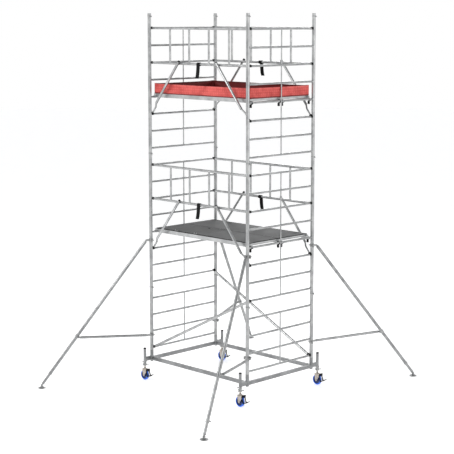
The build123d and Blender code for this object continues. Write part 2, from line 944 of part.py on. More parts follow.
def deck_hinge_leaves(level):
    """Leaves on the front board, each with the hinge pin through its knuckles."""
    top = rung_height(platform_rungs[level]) + deck_rise
    half = hinge_leaf_length / 2
    pieces = []
    for x in hinge_xs:
        knuckles = [(-half, -hinge_third - side_gap), (hinge_third + side_gap, half)]
        leaf = hinge_leaf(x, -1, knuckles, hinge_pin_radius)
        pin = bar(
            (x - half, -hinge_y, hinge_barrel_radius), (x + half, -hinge_y, hinge_barrel_radius),
            hinge_pin_radius,
        )
        pieces += [Pos(0, 0, top) * leaf, Pos(0, 0, top) * pin]
    return pieces


def hatch(level):
    """Front platform's door with a finger hole, hinged along its outboard edge."""
    top = rung_height(platform_rungs[level]) + deck_rise
    pull = bar(
        (hatch_centre, -hatch_inner_y - 32, top - deck_thickness),
        (hatch_centre, -hatch_inner_y - 32, top),
        hatch_pull_radius,
    )
    door = block(
        (hatch_low_x, -hinge_y, top - deck_thickness + hatch_rest_gap),
        (hatch_high_x, -hatch_inner_y, top),
        [pull],
    )
    leaves = [
        Pos(0, 0, top)
        * hinge_leaf(x, 1, [(-hinge_third, hinge_third)], hinge_pin_radius + pin_clearance)
        for x in hinge_xs
    ]
    return [door] + leaves


def platform_lock():
    """Moulded lock beside a hook: a jaw under the rung and a tail to pull."""
    outer = rung_radius + lock_wall
    eye_x = deck_end_gap - lock_eye_radius  # the eye's far side meets the end of the deck
    with BuildPart() as piece:
        with BuildSketch(Plane.XZ):
            Circle(outer)
            with BuildLine():
                Polyline(
                    (-outer, 0), (-outer + 2, -outer - lock_tail), (-outer + 12, -outer - lock_tail),
                    (0, -outer + 1), (outer, 0), close=True,
                )
            make_face()
            with Locations((-eye_x, outer / 2)):
                Circle(lock_eye_radius)
            Circle(rung_radius, mode=Mode.SUBTRACT)
            with Locations((outer - lock_wall / 2, outer / 2)):
                Rectangle(2 * outer, outer, align=(Align.CENTER, Align.CENTER), mode=Mode.SUBTRACT)
        extrude(amount=-lock_thickness)
    return piece.part


deck_pieces = []
lock_pieces = []
for level in platform_rungs:
    frame_pieces = platform_frame(level, -1) + platform_frame(level, 1)
    write_node(f"platforms_{level}", frame_pieces + deck_hinge_leaves(level))
    write_node(f"hatch_{level}", hatch(level))
    deck_pieces += [deck_board(level, -1), deck_board(level, 1)]
    outer_lock_y = outer_edge - side_beam_width / 2 + platform_hook_width / 2
    inner_lock_y = rod_radius + claw_post_gap + platform_hook_width
    for y in (inner_lock_y, outer_lock_y):
        lock = Pos(half_length, y, rung_height(platform_rungs[level])) * platform_lock()
        lock_pieces += [lock, mirror(lock, about=Plane.XZ)]
write_node("deck_boards", deck_pieces)
write_node("platform_locks", lock_pieces)

# ---------------------------------------------------------------- toe boards
upper_deck = rung_height(platform_rungs["upper"]) + deck_rise
toe_low = upper_deck - toe_drop
toe_high = toe_low + toe_height
toe_x = deck_half_length + toe_end_overhang
toe_y = outer_edge + toe_side_overhang
toe_pieces = []
for side in (-1, 1):
    ys = sorted((side * toe_y, side * (toe_y - toe_thickness)))
    toe_pieces.append(block((-toe_x, ys[0], toe_low), (toe_x, ys[1], toe_high)))
for end in (-1, 1):
    xs = sorted((end * toe_x, end * (toe_x - toe_thickness)))
    inner = toe_y - toe_thickness
    toe_pieces.append(block((xs[0], -inner, toe_low), (xs[1], inner, toe_high)))
write_node("toe_boards", toe_pieces)

clip_pieces = []
clip_top = upper_deck + toe_clip_height
long_clip_x = toe_x - toe_thickness - toe_clip_depth - toe_clip_length / 2
for sx in (-1, 0, 1):
    for sy in (-1, 1):
        x = sx * long_clip_x
        y_face = toe_y - toe_thickness
        ys = sorted((sy * y_face, sy * (y_face - toe_clip_depth)))
        clip_pieces.append(
            block(
                (x - toe_clip_length / 2, ys[0], upper_deck),
                (x + toe_clip_length / 2, ys[1], clip_top),
            )
        )
for sx in (-1, 1):
    for y in (-outer_edge / 2, outer_edge / 2):
        x_face = toe_x - toe_thickness
        xs = sorted((sx * x_face, sx * (x_face - toe_clip_depth)))
        clip_pieces.append(
            block(
                (xs[0], y - toe_clip_length / 2, upper_deck),
                (xs[1], y + toe_clip_length / 2, clip_top),
            )
        )
write_node("toe_board_clips", clip_pieces)

# ---------------------------------------------------------------- outriggers
# Made in a frame of its own: X runs outwards from the post, Z is up.
top_pivot = Vector(pivot_reach, 0, upper_clamp_height)
foot_pivot = Vector(outrigger_reach, 0, foot_pivot_height)
tube_run = foot_pivot - top_pivot
tube_length = tube_run.length
down = tube_run.normalized()
side_of_tube = Vector(0, 1, 0)
under = down.cross(side_of_tube)
if under.Z > 0:
    under = under * -1
strut_s = strut_joint_at * tube_length
strut_joint = top_pivot + down * strut_s + under * strut_joint_drop
strut_foot = Vector(pivot_reach, 0, lower_clamp_height)
ring_radius = post_radius + clamp_clearance + clamp_wall
clamp_bore = post_radius + clamp_clearance


def along_tube(distance):
    """Point on the tube's axis, measured from the top pivot."""
    return top_pivot + down * distance


def post_clamp(z):
    """Two half shells round the post, with bolted lugs at both sides."""
    lug_reach = ring_radius + 20
    low = z - clamp_height / 2
    with BuildPart() as shell:
        with BuildSketch(Plane.XY.offset(low)):
            Circle(ring_radius)
            Rectangle(16, 2 * lug_reach)
            Circle(clamp_bore, mode=Mode.SUBTRACT)
        extrude(amount=clamp_height)
    gap = block((-1, -lug_reach, low), (1, lug_reach, low + clamp_height))
    bolts = [
        hex_bolt((-8, side * (ring_radius + 11), z), (8, side * (ring_radius + 11), z), bolt_radius)
        for side in (-1, 1)
    ]
    wings = [wing_nut(-13, side * (ring_radius + 11), z) for side in (-1, 1)]
    return shell.part - gap, bolts, wings


def wing_nut(x, y, z):
    """Wing nut on the inboard end of a clamp bolt."""
    with BuildPart() as piece:
        with BuildSketch(Plane(origin=(x, y, z), z_dir=(-1, 0, 0))):
            Circle(8)
        extrude(amount=10)
        with BuildSketch(Plane(origin=(x, y, z), z_dir=(0, 0, 1))):
            with BuildLine():
                Polyline((-3, -5), (-22, -13), (-24, -8), (-9, 0), (-24, 8), (-22, 13), (-3, 5),
                         close=True)
            make_face()
        extrude(amount=3, both=True)
    return piece.part


def clamps():
    """Both post clamps of an outrigger, with the ears for its tube and strut."""
    pin_hole = pin_radius
    upper, upper_bolts, upper_wings = post_clamp(upper_clamp_height)
    z = upper_clamp_height
    inner = tongue / 2 + side_gap
    ears = [
        plate_xz(
            [(ring_radius - 6, z - 13), (pivot_reach, z - 13), (pivot_reach, z + 13),
             (ring_radius - 6, z + 13)],
            low, low + cheek,
            rounds=[(pivot_reach, z, eye_radius)],
            holes=[(pivot_reach, z, pin_hole)],
        )
        for low in (-inner - cheek, inner)
    ]
    bore = bar((0, 0, z - 30), (0, 0, z + 30), clamp_bore)
    upper_front = [solid for solid in (upper + ears[0] + ears[1] - bore).solids()]
    top_pin = hex_bolt(
        (pivot_reach, -inner - cheek, z), (pivot_reach, inner + cheek, z), pin_radius
    )
    lower, lower_bolts, lower_wings = post_clamp(lower_clamp_height)
    z = lower_clamp_height
    lug_high = strut_side_offset - tongue / 2 - side_gap
    lug_low = lug_high - 8
    lug = plate_xz(
        [(14, z - 13), (pivot_reach, z - 13), (pivot_reach, z + 13), (14, z + 13)],
        lug_low, lug_high,
        rounds=[(pivot_reach, z, eye_radius)],
    )
    web = block((14, 14, z - 13), (30, lug_low, z + 13))
    bore = bar((0, 0, z - 30), (0, 0, z + 30), clamp_bore)
    lower_front = [solid for solid in (lower + lug + web - bore).solids()]
    bolts = upper_bolts + lower_bolts
    shells = upper_front + lower_front
    cut_shells = []
    for shell in shells:
        for bolt in bolts:
            shell = shell - bolt
        cut_shells.append(shell)
    return cut_shells + bolts + upper_wings + lower_wings + [top_pin]


def end_fitting(pivot, direction, radius, y, hole):
    """Eye on a pivot along Y, with the collar that closes a tube's end."""
    length = eye_radius + 17
    collar_at = pivot + direction * (length - 6)
    shank_end = pivot + direction * length
    normal = direction.cross(Vector(0, 1, 0)) * eye_radius
    corners = [pivot + normal, shank_end + normal, shank_end - normal, pivot - normal]
    shank = plate_xz(
        [(point.X, point.Z) for point in corners],
        y - tongue / 2, y + tongue / 2,
        rounds=[(pivot.X, pivot.Z, eye_radius)],
    )
    collar = bar(collar_at, shank_end, radius)
    with BuildPart() as piece:
        add(shank)
        add(collar)
        add(
            bar((pivot.X, y - radius, pivot.Z), (pivot.X, y + radius, pivot.Z), hole),
            mode=Mode.SUBTRACT,
        )
    return piece.part


fitting_length = eye_radius + 17
tube_end = tube_length - outer_tube_end
pin_hole_radius = pin_radius + pin_clearance


def outrigger_tube():
    """Outer tube, its top eye, the strut's saddle and the lower clamp ring."""
    start = along_tube(fitting_length)
    end = along_tube(tube_end)
    outer = bar(start, end, outer_tube_radius, outer_tube_wall)
    eye = end_fitting(top_pivot, down, outer_tube_radius, 0, pin_hole_radius)
    solid_tube = bar(start, end, outer_tube_radius)
    boss_high = strut_side_offset - tongue / 2 - side_gap
    across = 14.0
    foot_of_joint = along_tube(strut_s)
    corners = [
        strut_joint - down * across,
        strut_joint + down * across,
        foot_of_joint + down * across,
        foot_of_joint - down * across,
    ]
    plate = plate_xz(
        [(point.X, point.Z) for point in corners], 0, boss_high,
        rounds=[(strut_joint.X, strut_joint.Z, across)],
    )
    saddle_ring = bar(
        along_tube(strut_s - 20), along_tube(strut_s + 20),
        outer_tube_radius + 6,
    )
    with BuildPart() as saddle:
        add(saddle_ring)
        add(plate)
        add(solid_tube, mode=Mode.SUBTRACT)
    pivot_pin = hex_bolt(
        (strut_joint.X, boss_high, strut_joint.Z),
        (strut_joint.X, strut_side_offset + tongue / 2 + side_gap, strut_joint.Z),
        pin_radius, head_height=6.0,
    )
    lower_ring = bar(
        along_tube(tube_end - 34), along_tube(tube_end - 4),
        outer_tube_radius + 4, cuts=[solid_tube],
    )
    knob_at = along_tube(tube_end - 19)
    knob = bar(
        (knob_at.X, outer_tube_radius + 4, knob_at.Z),
        (knob_at.X, outer_tube_radius + 26, knob_at.Z), 7,
    )
    return [outer, eye, saddle.part - pivot_pin, pivot_pin, lower_ring, knob]


def outrigger_strut():
    """Strut beside the tube, with an eye at each end."""
    lift = Vector(0, strut_side_offset, 0)
    run = (strut_foot - strut_joint).normalized()
    start = strut_joint + run * fitting_length + lift
    end = strut_foot - run * fitting_length + lift
    body = bar(start, end, strut_radius, strut_wall)
    outer_eye = end_fitting(
        strut_joint + lift, run, strut_radius, strut_side_offset, pin_hole_radius
    )
    post_eye = end_fitting(
        strut_foot + lift, run * -1, strut_radius, strut_side_offset, pin_hole_radius
    )
    head_y = strut_side_offset + tongue / 2
    with BuildPart() as knob:
        with BuildSketch(Plane(origin=(strut_foot.X, head_y, strut_foot.Z), z_dir=(0, 1, 0))):
            Circle(9)
        extrude(amount=14)
    pin = bar(
        (strut_foot.X, head_y - tongue, strut_foot.Z), (strut_foot.X, head_y, strut_foot.Z),
        pin_hole_radius,
    )
    return [body, outer_eye, post_eye, pin, knob.part]


def outrigger_leg():
    """Inner tube that slides in the outer one, with the eye for the foot."""
    radius = outer_tube_radius - outer_tube_wall - leg_tube_clearance
    start = along_tube(tube_end - leg_tube_inside)
    end = along_tube(tube_length - fitting_length)
    inner = bar(start, end, radius, leg_tube_wall)
    eye = end_fitting(foot_pivot, down * -1, radius, 0, pin_hole_radius)
    return [inner, eye]


def outrigger_foot():
    """Dished foot plate with two ears and the pin that carries the leg."""
    x, z = foot_pivot.X, foot_pivot.Z
    inner = tongue / 2 + side_gap
    with BuildPart() as dish:
        with BuildSketch(Plane.XZ):
            with BuildLine():
                Polyline(
                    (0, 0), (foot_radius - 6, 0), (foot_radius, 8), (foot_radius - 4, 10),
                    (foot_radius - 10, 6), (28, 8), (20, 14), (0, 14), close=True,
                )
            make_face()
        revolve(axis=Axis.Z)
    ears = [
        plate_xz(
            [(x - 16, 10), (x + 16, 10), (x + eye_radius, z), (x - eye_radius, z)],
            low, low + cheek,
            rounds=[(x, z, eye_radius)],
        )
        for low in (-inner - cheek, inner)
    ]
    pin = hex_bolt((x, -inner - cheek, z), (x, inner + cheek, z), pin_radius)
    with BuildPart() as body:
        add(Pos(x, 0, 0) * dish.part)
        for ear in ears:
            add(ear)
    return [body.part - pin, pin]


outrigger_pieces = {
    "clamps": clamps(),
    "tube": outrigger_tube(),
    "strut": outrigger_strut(),
    "leg": outrigger_leg(),
    "foot": outrigger_foot(),
}
for corner, (sx, sy) in CORNERS.items():
    heading = degrees(
        atan2(sy * sin(radians(outrigger_angle)), sx * cos(radians(outrigger_angle)))
    )
    place = Pos(sx * half_length, sy * half_width, 0) * Rot(0, 0, heading)
    for name, pieces in outrigger_pieces.items():
        write_node(f"outrigger_{corner}_{name}", [place * piece for piece in pieces])
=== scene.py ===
# %% [markdown]
# # A mobile tower scaffold, dressed for its portrait
#
# The engineering model arrives finished: every tube, claw and castor already
# stands in its place. What is missing is the surface of things. A scaffold is
# mostly drawn aluminium tube, with plated steel where it is clamped, black
# mouldings where it is hooked on, dark film-faced boards underfoot and one band
# of red tarpaulin. This lesson makes each of those finishes from what the real
# material is, and then models the few pieces that are soft, stitched, threaded or
# welded and that a solid modeller leaves plain.

# %% Load the model
import math

import bpy
from mathutils import Matrix, Vector, noise


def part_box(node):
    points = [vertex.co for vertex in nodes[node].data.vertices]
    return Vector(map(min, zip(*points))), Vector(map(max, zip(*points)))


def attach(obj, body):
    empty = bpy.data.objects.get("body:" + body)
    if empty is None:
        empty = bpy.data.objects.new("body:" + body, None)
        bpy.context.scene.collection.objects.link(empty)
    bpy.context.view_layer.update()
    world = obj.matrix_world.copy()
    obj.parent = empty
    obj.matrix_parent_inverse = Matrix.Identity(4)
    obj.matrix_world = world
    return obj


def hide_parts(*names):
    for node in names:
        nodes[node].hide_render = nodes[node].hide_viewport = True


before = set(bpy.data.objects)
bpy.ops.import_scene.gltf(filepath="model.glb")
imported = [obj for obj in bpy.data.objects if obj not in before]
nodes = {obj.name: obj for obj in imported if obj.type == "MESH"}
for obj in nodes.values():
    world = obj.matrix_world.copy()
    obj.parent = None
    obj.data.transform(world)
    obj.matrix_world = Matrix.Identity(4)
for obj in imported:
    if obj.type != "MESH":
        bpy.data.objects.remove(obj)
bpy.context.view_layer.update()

# %% [markdown]
# ## Small helpers
#
# Colours are easiest to choose as the hex values a paint chart gives, but Blender
# shades in linear light, so one function turns the first into the second. Another
# adds a shader node with its settings, its numbers and its links, which keeps a
# material readable as a list. A third starts a material with its Principled shader
# and the Object coordinates that nearly every pattern here reads: they are metres
# from the tower's foot, so a scale can be worked out from a real size. The rest
# are a ramp between two colours, a pattern stretched between two numbers, the
# scale of a pattern of bands, and relief of a real depth.

# %% Colour, node and material helpers
def linear(hex_value):
    """The linear colour of an sRGB hex value such as "c8ccd0"."""
    channels = [int(hex_value[i:i + 2], 16) / 255 for i in (0, 2, 4)]
    curve = [c / 12.92 if c <= 0.04045 else ((c + 0.055) / 1.055) ** 2.4 for c in channels]
    return (*curve, 1.0)


def add(tree, kind, values=None, links=None, **settings):
    """One node, with the numbers of its inputs, what feeds them, and its settings."""
    made = tree.nodes.new(kind)
    for name, value in settings.items():
        setattr(made, name, value)
    for socket, value in (values or {}).items():
        made.inputs[socket].default_value = value
    for socket, source in (links or {}).items():
        tree.links.new(source, made.inputs[socket])
    return made


def start_material(name, **shader_values):
    """A material with its shader: returns it, its tree, the shader and the coordinates."""
    material = bpy.data.materials.new(name)
    material.use_nodes = True
    tree = material.node_tree
    shader = tree.nodes["Principled BSDF"]
    for socket, value in shader_values.items():
        shader.inputs[socket.replace("_", " ")].default_value = value
    place = add(tree, "ShaderNodeTexCoord").outputs["Object"]
    return material, tree, shader, place


def two_tones(tree, source, dark, light, low=0.35, high=0.65):
    """A ramp between two hex colours, driven by a pattern."""
    ramp = add(tree, "ShaderNodeValToRGB", links={"Fac": source})
    ramp.color_ramp.elements[0].position = low
    ramp.color_ramp.elements[0].color = linear(dark)
    ramp.color_ramp.elements[1].position = high
    ramp.color_ramp.elements[1].color = linear(light)
    return ramp.outputs["Color"]


def two_values(tree, source, low_value, high_value, low=0.3, high=0.7):
    """A pattern stretched between two numbers, such as two roughnesses."""
    return add(
        tree, "ShaderNodeMapRange",
        values={"From Min": low, "From Max": high, "To Min": low_value, "To Max": high_value},
        links={"Value": source},
    ).outputs["Result"]


def band_scale(spacing_mm):
    """Scale of a wave texture with bands this far apart: it is the sine of 20 times the place."""
    return 2 * math.pi * 1000 / (20 * spacing_mm)


def bump(tree, shader, height, depth, strength=1.0):
    """Relief of a real depth in metres on a shader's normal."""
    relief = add(
        tree, "ShaderNodeBump",
        values={"Strength": strength, "Distance": depth},
        links={"Height": height},
    )
    tree.links.new(relief.outputs["Normal"], shader.inputs["Normal"])


# %% [markdown]
# ## The camera
#
# A tower five metres tall is photographed from well back with a long lens, so its
# posts stay nearly parallel. The camera stands almost twenty metres away on the
# corner diagonal, as high as the tower's top, looking slightly down. The lens is
# shifted rather than tilted further, which keeps the uprights upright: that is how
# an architectural photographer frames a tall thing.

# %% Place the camera
camera_data = bpy.data.cameras.new("tower_camera")
camera = bpy.data.objects.new("tower_camera", camera_data)
bpy.context.collection.objects.link(camera)
azimuth, elevation = math.radians(45.07), math.radians(7.67)
look_back = Vector((
    math.sin(azimuth) * math.cos(elevation),
    -math.cos(azimuth) * math.cos(elevation),
    math.sin(elevation),
))
camera.location = (13.753, -13.755, 5.396)
camera.rotation_mode = "QUATERNION"
camera.rotation_quaternion = (-look_back).to_track_quat("-Z", "Y")
camera_data.sensor_width = 36.0
camera_data.lens = 106.58
camera_data.shift_x = -0.0041
camera_data.shift_y = -0.0664
camera_data.clip_start, camera_data.clip_end = 0.5, 200.0
bpy.context.scene.camera = camera
print("camera at", [round(v, 2) for v in camera.location])

# %% [markdown]
# ## Floor and light
#
# Metal shows what surrounds it. In an evenly white studio a tube would look like
# paper, so the sky here is brightest low down, where it meets the pale floor, and
# greys towards the top: each tube then gets sides of different brightness. Three
# large soft lights do the rest: a key from the left, a weaker fill from the right,
# and a third behind for the bright edge along a tube. The picture is shown with
# the plain Standard view, so white stays white and red stays red.

# %% Pale floor, graded sky and three soft lights
bpy.ops.object.select_all(action="DESELECT")
bpy.ops.mesh.primitive_circle_add(vertices=96, radius=60, fill_type="NGON", location=(0, 0, -0.002))
floor = bpy.context.object
floor.name = "studio_floor"
floor_finish, tree, shader, place = start_material(
    "studio_floor_paint", Roughness=0.85, Emission_Color=linear("ffffff"), Emission_Strength=0.42,
)
mottling = add(tree, "ShaderNodeTexNoise", {"Scale": 1.5, "Detail": 3.0}, {"Vector": place})
floor_tone = two_tones(tree, mottling.outputs["Fac"], "f8f8f8", "fcfcfc")
tree.links.new(floor_tone, shader.inputs["Base Color"])
floor.data.materials.append(floor_finish)

world = bpy.data.worlds.new("studio_sky")
bpy.context.scene.world = world
world.use_nodes = True
sky = world.node_tree
height = add(sky, "ShaderNodeSeparateXYZ", links={
    "Vector": add(sky, "ShaderNodeTexCoord").outputs["Generated"],
}).outputs["Z"]
rise = two_values(sky, height, 0.0, 1.0, -0.5, 0.9)
grade = two_tones(sky, rise, "ffffff", "a9aaac", low=0.45, high=1.0)
background = sky.nodes["Background"]
background.inputs["Strength"].default_value = 1.0
sky.links.new(grade, background.inputs["Color"])


def soft_light(name, location, aim, size, power):
    """A square area light aimed at a point."""
    data = bpy.data.lights.new(name, "AREA")
    data.shape = "SQUARE"
    data.size = size
    data.energy = power
    lamp = bpy.data.objects.new(name, data)
    bpy.context.collection.objects.link(lamp)
    lamp.location = location
    lamp.rotation_mode = "QUATERNION"
    lamp.rotation_quaternion = (Vector(location) - Vector(aim)).to_track_quat("Z", "Y")


bpy.context.scene.view_settings.view_transform = "Standard"
middle = (0, 0, 2.7)
soft_light("key_light", (-3.0, -9.0, 9.0), middle, 4.0, 420)
soft_light("fill_light", (10.0, 1.0, 5.0), middle, 5.0, 160)
soft_light("rim_light", (-6.0, 8.0, 8.0), middle, 3.0, 240)

# %% [markdown]
# ## Drawn aluminium tube
#
# The frames, rails and braces are 6082 alloy, pushed through a die and left bare.
# New it is nearly white and satin; after a season a thin oxide dulls it in soft
# patches and hands rub it bright again. So: fully metallic, a light cool grey that
# drifts a little over a hand's width, a roughness that drifts with it, and a faint
# relief a few millimetres across for the handling marks.

# %% Aluminium finishes
def aluminium(name, dark, light, rough_low, rough_high, patch_mm=120.0, mark_mm=2.5):
    """Bare aluminium whose oxide drifts in patches and whose marks are finer."""
    made, tree, shader, place = start_material(name, Metallic=1.0)
    patches = add(
        tree, "ShaderNodeTexNoise", {"Scale": 1000 / patch_mm, "Detail": 4.0, "Roughness": 0.6},
        {"Vector": place},
    ).outputs["Fac"]
    tree.links.new(two_tones(tree, patches, dark, light), shader.inputs["Base Color"])
    marks = add(
        tree, "ShaderNodeTexNoise", {"Scale": 1000 / mark_mm, "Detail": 2.0}, {"Vector": place},
    ).outputs["Fac"]
    mixed = add(
        tree, "ShaderNodeMath", {1: 0.5}, {0: patches, 2: marks}, operation="MULTIPLY_ADD",
    ).outputs["Value"]
    tree.links.new(
        two_values(tree, mixed, rough_low, rough_high, 0.5, 1.0), shader.inputs["Roughness"]
    )
    bump(tree, shader, marks, 0.0001, 0.5)
    return made


rail_tube = aluminium("handled_aluminium_rail", "9fa0a1", "c0c1c1", 0.25, 0.34, patch_mm=90.0)
base_section = aluminium("weathered_aluminium_beam", "7f8081", "999a9b", 0.32, 0.44, patch_mm=200.0)
deck_section = aluminium("extruded_aluminium_beam", "a8a9aa", "c6c7c7", 0.28, 0.38, patch_mm=200.0)
stay_tube = aluminium("telescoping_aluminium_tube", "878889", "a6a7a7", 0.27, 0.35, patch_mm=90.0)

# %% [markdown]
# ## Rungs worn by boots
#
# A rung is ribbed so a boot does not slide: fine rings round the tube, about three
# millimetres apart. At this size they would be too fine to see, so they are drawn
# 38 mm apart. The frames' posts and rungs are one welded frame and share one
# finish, so the rings are only faint and run across the width, where they read as
# the ribbing on the rungs and vanish on the posts, which stand along Z.

# %% Ribbed frame finish
ring_spacing_mm = 37.7


def ribbed_frame(name):
    """The frame tube with faint rings along the rungs."""
    made, tree, shader, place = start_material(name, Metallic=1.0)
    patches = add(
        tree, "ShaderNodeTexNoise", {"Scale": 8.0, "Detail": 4.0, "Roughness": 0.6},
        {"Vector": place},
    ).outputs["Fac"]
    tree.links.new(two_tones(tree, patches, "969798", "b7b8b8"), shader.inputs["Base Color"])
    tree.links.new(two_values(tree, patches, 0.30, 0.40), shader.inputs["Roughness"])
    rings = add(
        tree, "ShaderNodeTexWave", {"Scale": band_scale(ring_spacing_mm), "Distortion": 0.0},
        {"Vector": place}, wave_type="BANDS", bands_direction="Y",
    ).outputs["Fac"]
    bump(tree, shader, rings, 0.0004, 0.35)
    return made


frame_finish = ribbed_frame("ribbed_aluminium_frame")

# %% [markdown]
# ## Plated steel
#
# The clamps, nuts, clips and feet are steel under bright zinc. Zinc freezes in
# crystals a few millimetres wide, each reflecting a slightly different grey, and a
# Voronoi pattern with one colour per cell is just that. The castors are passivated
# as well, which leaves the same crystals under a pale straw tint, browner where
# dirt has settled.

# %% Zinc finishes
def plated(name, dark, light, grain_mm, rough_low, rough_high):
    """Zinc plating: crystals of a few millimetres and a little dirt."""
    made, tree, shader, place = start_material(name, Metallic=1.0)
    crystals = add(
        tree, "ShaderNodeTexVoronoi", {"Scale": 1000 / grain_mm, "Randomness": 1.0},
        {"Vector": place}, feature="F1",
    ).outputs["Color"]
    grey = add(tree, "ShaderNodeRGBToBW", links={"Color": crystals}).outputs["Val"]
    dirt = add(
        tree, "ShaderNodeTexNoise", {"Scale": 40.0, "Detail": 5.0}, {"Vector": place},
    ).outputs["Fac"]
    blend = add(
        tree, "ShaderNodeMath", {1: 0.35}, {0: grey, 2: dirt}, operation="MULTIPLY_ADD",
    ).outputs["Value"]
    tree.links.new(two_tones(tree, blend, dark, light, 0.4, 0.95), shader.inputs["Base Color"])
    tree.links.new(
        two_values(tree, blend, rough_low, rough_high, 0.4, 0.95), shader.inputs["Roughness"]
    )
    bump(tree, shader, dirt, 0.0002, 0.4)
    return made


bright_zinc = plated("bright_zinc_plating", "787979", "b8b9b9", 6.0, 0.30, 0.48)
cast_zinc = plated("zinc_plated_casting", "828383", "babbbb", 4.0, 0.42, 0.60)
straw_zinc = plated("straw_passivated_zinc", "948c84", "cfc7be", 6.0, 0.34, 0.52)

# %% [markdown]
# ## The castor spindle's thread
#
# The spindle is a trapezoidal screw the nut runs along. A thread is a helix, but
# seen from outside it is a stack of bands one pitch apart that lean a little, so a
# band pattern along Z stands for it. A real pitch is about six millimetres, too
# fine to show here, so the bands are drawn 38 mm apart and a millimetre deep.

# %% Threaded spindle finish
def threaded(name, spacing_mm):
    """Straw zinc with the bands of a screw thread along Z."""
    made, tree, shader, place = start_material(name, Metallic=1.0, Roughness=0.38)
    bands = add(
        tree, "ShaderNodeTexWave", {"Scale": band_scale(spacing_mm), "Distortion": 0.0},
        {"Vector": place}, wave_type="BANDS", bands_direction="Z",
    ).outputs["Fac"]
    tree.links.new(two_tones(tree, bands, "6f6963", "c2bbb2", 0.1, 0.6), shader.inputs["Base Color"])
    bump(tree, shader, bands, 0.001, 0.8)
    return made


spindle_finish = threaded("straw_zinc_thread", 37.7)

# %% [markdown]
# ## Black mouldings
#
# Claws, caps, catches and pedals are glass-filled polyamide. A mould for such a
# part is spark-eroded, which leaves a grain of about a millimetre that keeps the
# black from ever looking wet. Sunlight greys it slightly in patches.

# %% Moulded plastic finishes
def moulded(name, dark, light, rough_low, rough_high, grain_mm=1.2):
    """Moulded polyamide with an eroded grain and a little greying."""
    made, tree, shader, place = start_material(name, IOR=1.53, Specular_IOR_Level=0.12)
    greying = add(
        tree, "ShaderNodeTexNoise", {"Scale": 14.0, "Detail": 3.0}, {"Vector": place},
    ).outputs["Fac"]
    grain = add(
        tree, "ShaderNodeTexVoronoi", {"Scale": 1000 / grain_mm}, {"Vector": place},
    ).outputs["Distance"]
    tree.links.new(two_tones(tree, greying, dark, light), shader.inputs["Base Color"])
    tree.links.new(two_values(tree, greying, rough_low, rough_high), shader.inputs["Roughness"])
    bump(tree, shader, grain, 0.0002, 0.35)
    return made


black_moulding = moulded("black_polyamide_moulding", "060607", "0e0f10", 0.5, 0.66)
cap_moulding = moulded("black_polyethylene_cap", "070708", "101112", 0.46, 0.6, 1.6)

# %% [markdown]
# ## Blue castor wheels
#
# The wheel is two blues: a deep polyamide centre and, moulded round it, a paler
# elastic tread. Both are one solid in the model, so the finish tells them apart by
# the distance from the axle. That distance needs the axle's place, which the
# wheel's own box gives, so each wheel gets a material centred on itself.

# %% Wheel finish
def wheel_finish(name, centre, tread_starts):
    """Deep blue centre and paler tread, told apart by distance from the axle."""
    made, tree, shader, place = start_material(name, IOR=1.5, Coat_Weight=0.15)
    moved = add(
        tree, "ShaderNodeMapping", {"Location": tuple(-c for c in centre)}, {"Vector": place},
    ).outputs["Vector"]
    flat = add(
        tree, "ShaderNodeVectorMath", {1: (1.0, 0.0, 1.0)}, {0: moved}, operation="MULTIPLY",
    ).outputs["Vector"]
    radius = add(
        tree, "ShaderNodeVectorMath", links={0: flat}, operation="LENGTH",
    ).outputs["Value"]
    scuffs = add(
        tree, "ShaderNodeTexNoise", {"Scale": 120.0, "Detail": 4.0}, {"Vector": place},
    ).outputs["Fac"]
    wobble = add(
        tree, "ShaderNodeMath", {1: 0.0015}, {0: scuffs, 2: radius}, operation="MULTIPLY_ADD",
    ).outputs["Value"]
    zone = two_values(tree, wobble, 0.0, 1.0, tread_starts, tread_starts + 0.002)
    tree.links.new(two_tones(tree, zone, "07225c", "1b66dc", 0.4, 0.6), shader.inputs["Base Color"])
    tree.links.new(two_values(tree, scuffs, 0.30, 0.50), shader.inputs["Roughness"])
    bump(tree, shader, scuffs, 0.0003, 0.4)
    return made


# %% [markdown]
# ## Film-faced deck boards
#
# The walking surface is birch ply under a phenolic film, pressed against a wire
# mesh while hot. The mesh leaves small raised squares, which stop boots from
# slipping; the real ones are four millimetres across and are drawn at fifty here,
# so they survive the distance. Dust lies between them and boots polish paths. The
# sawn edges are sealed with black paint, which a glance at the surface's own
# direction picks out, and the sealant laps an inch onto the face: that rim
# follows the outer edges of the pair of boards and the joint between them.

# %% Deck board finish
deck_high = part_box("deck_boards")[1]
half_length, half_width = deck_high.x, deck_high.y
rim, joint_rim, rim_fade = 0.026, 0.008, 0.001
mesh_spacing_mm = 50.27


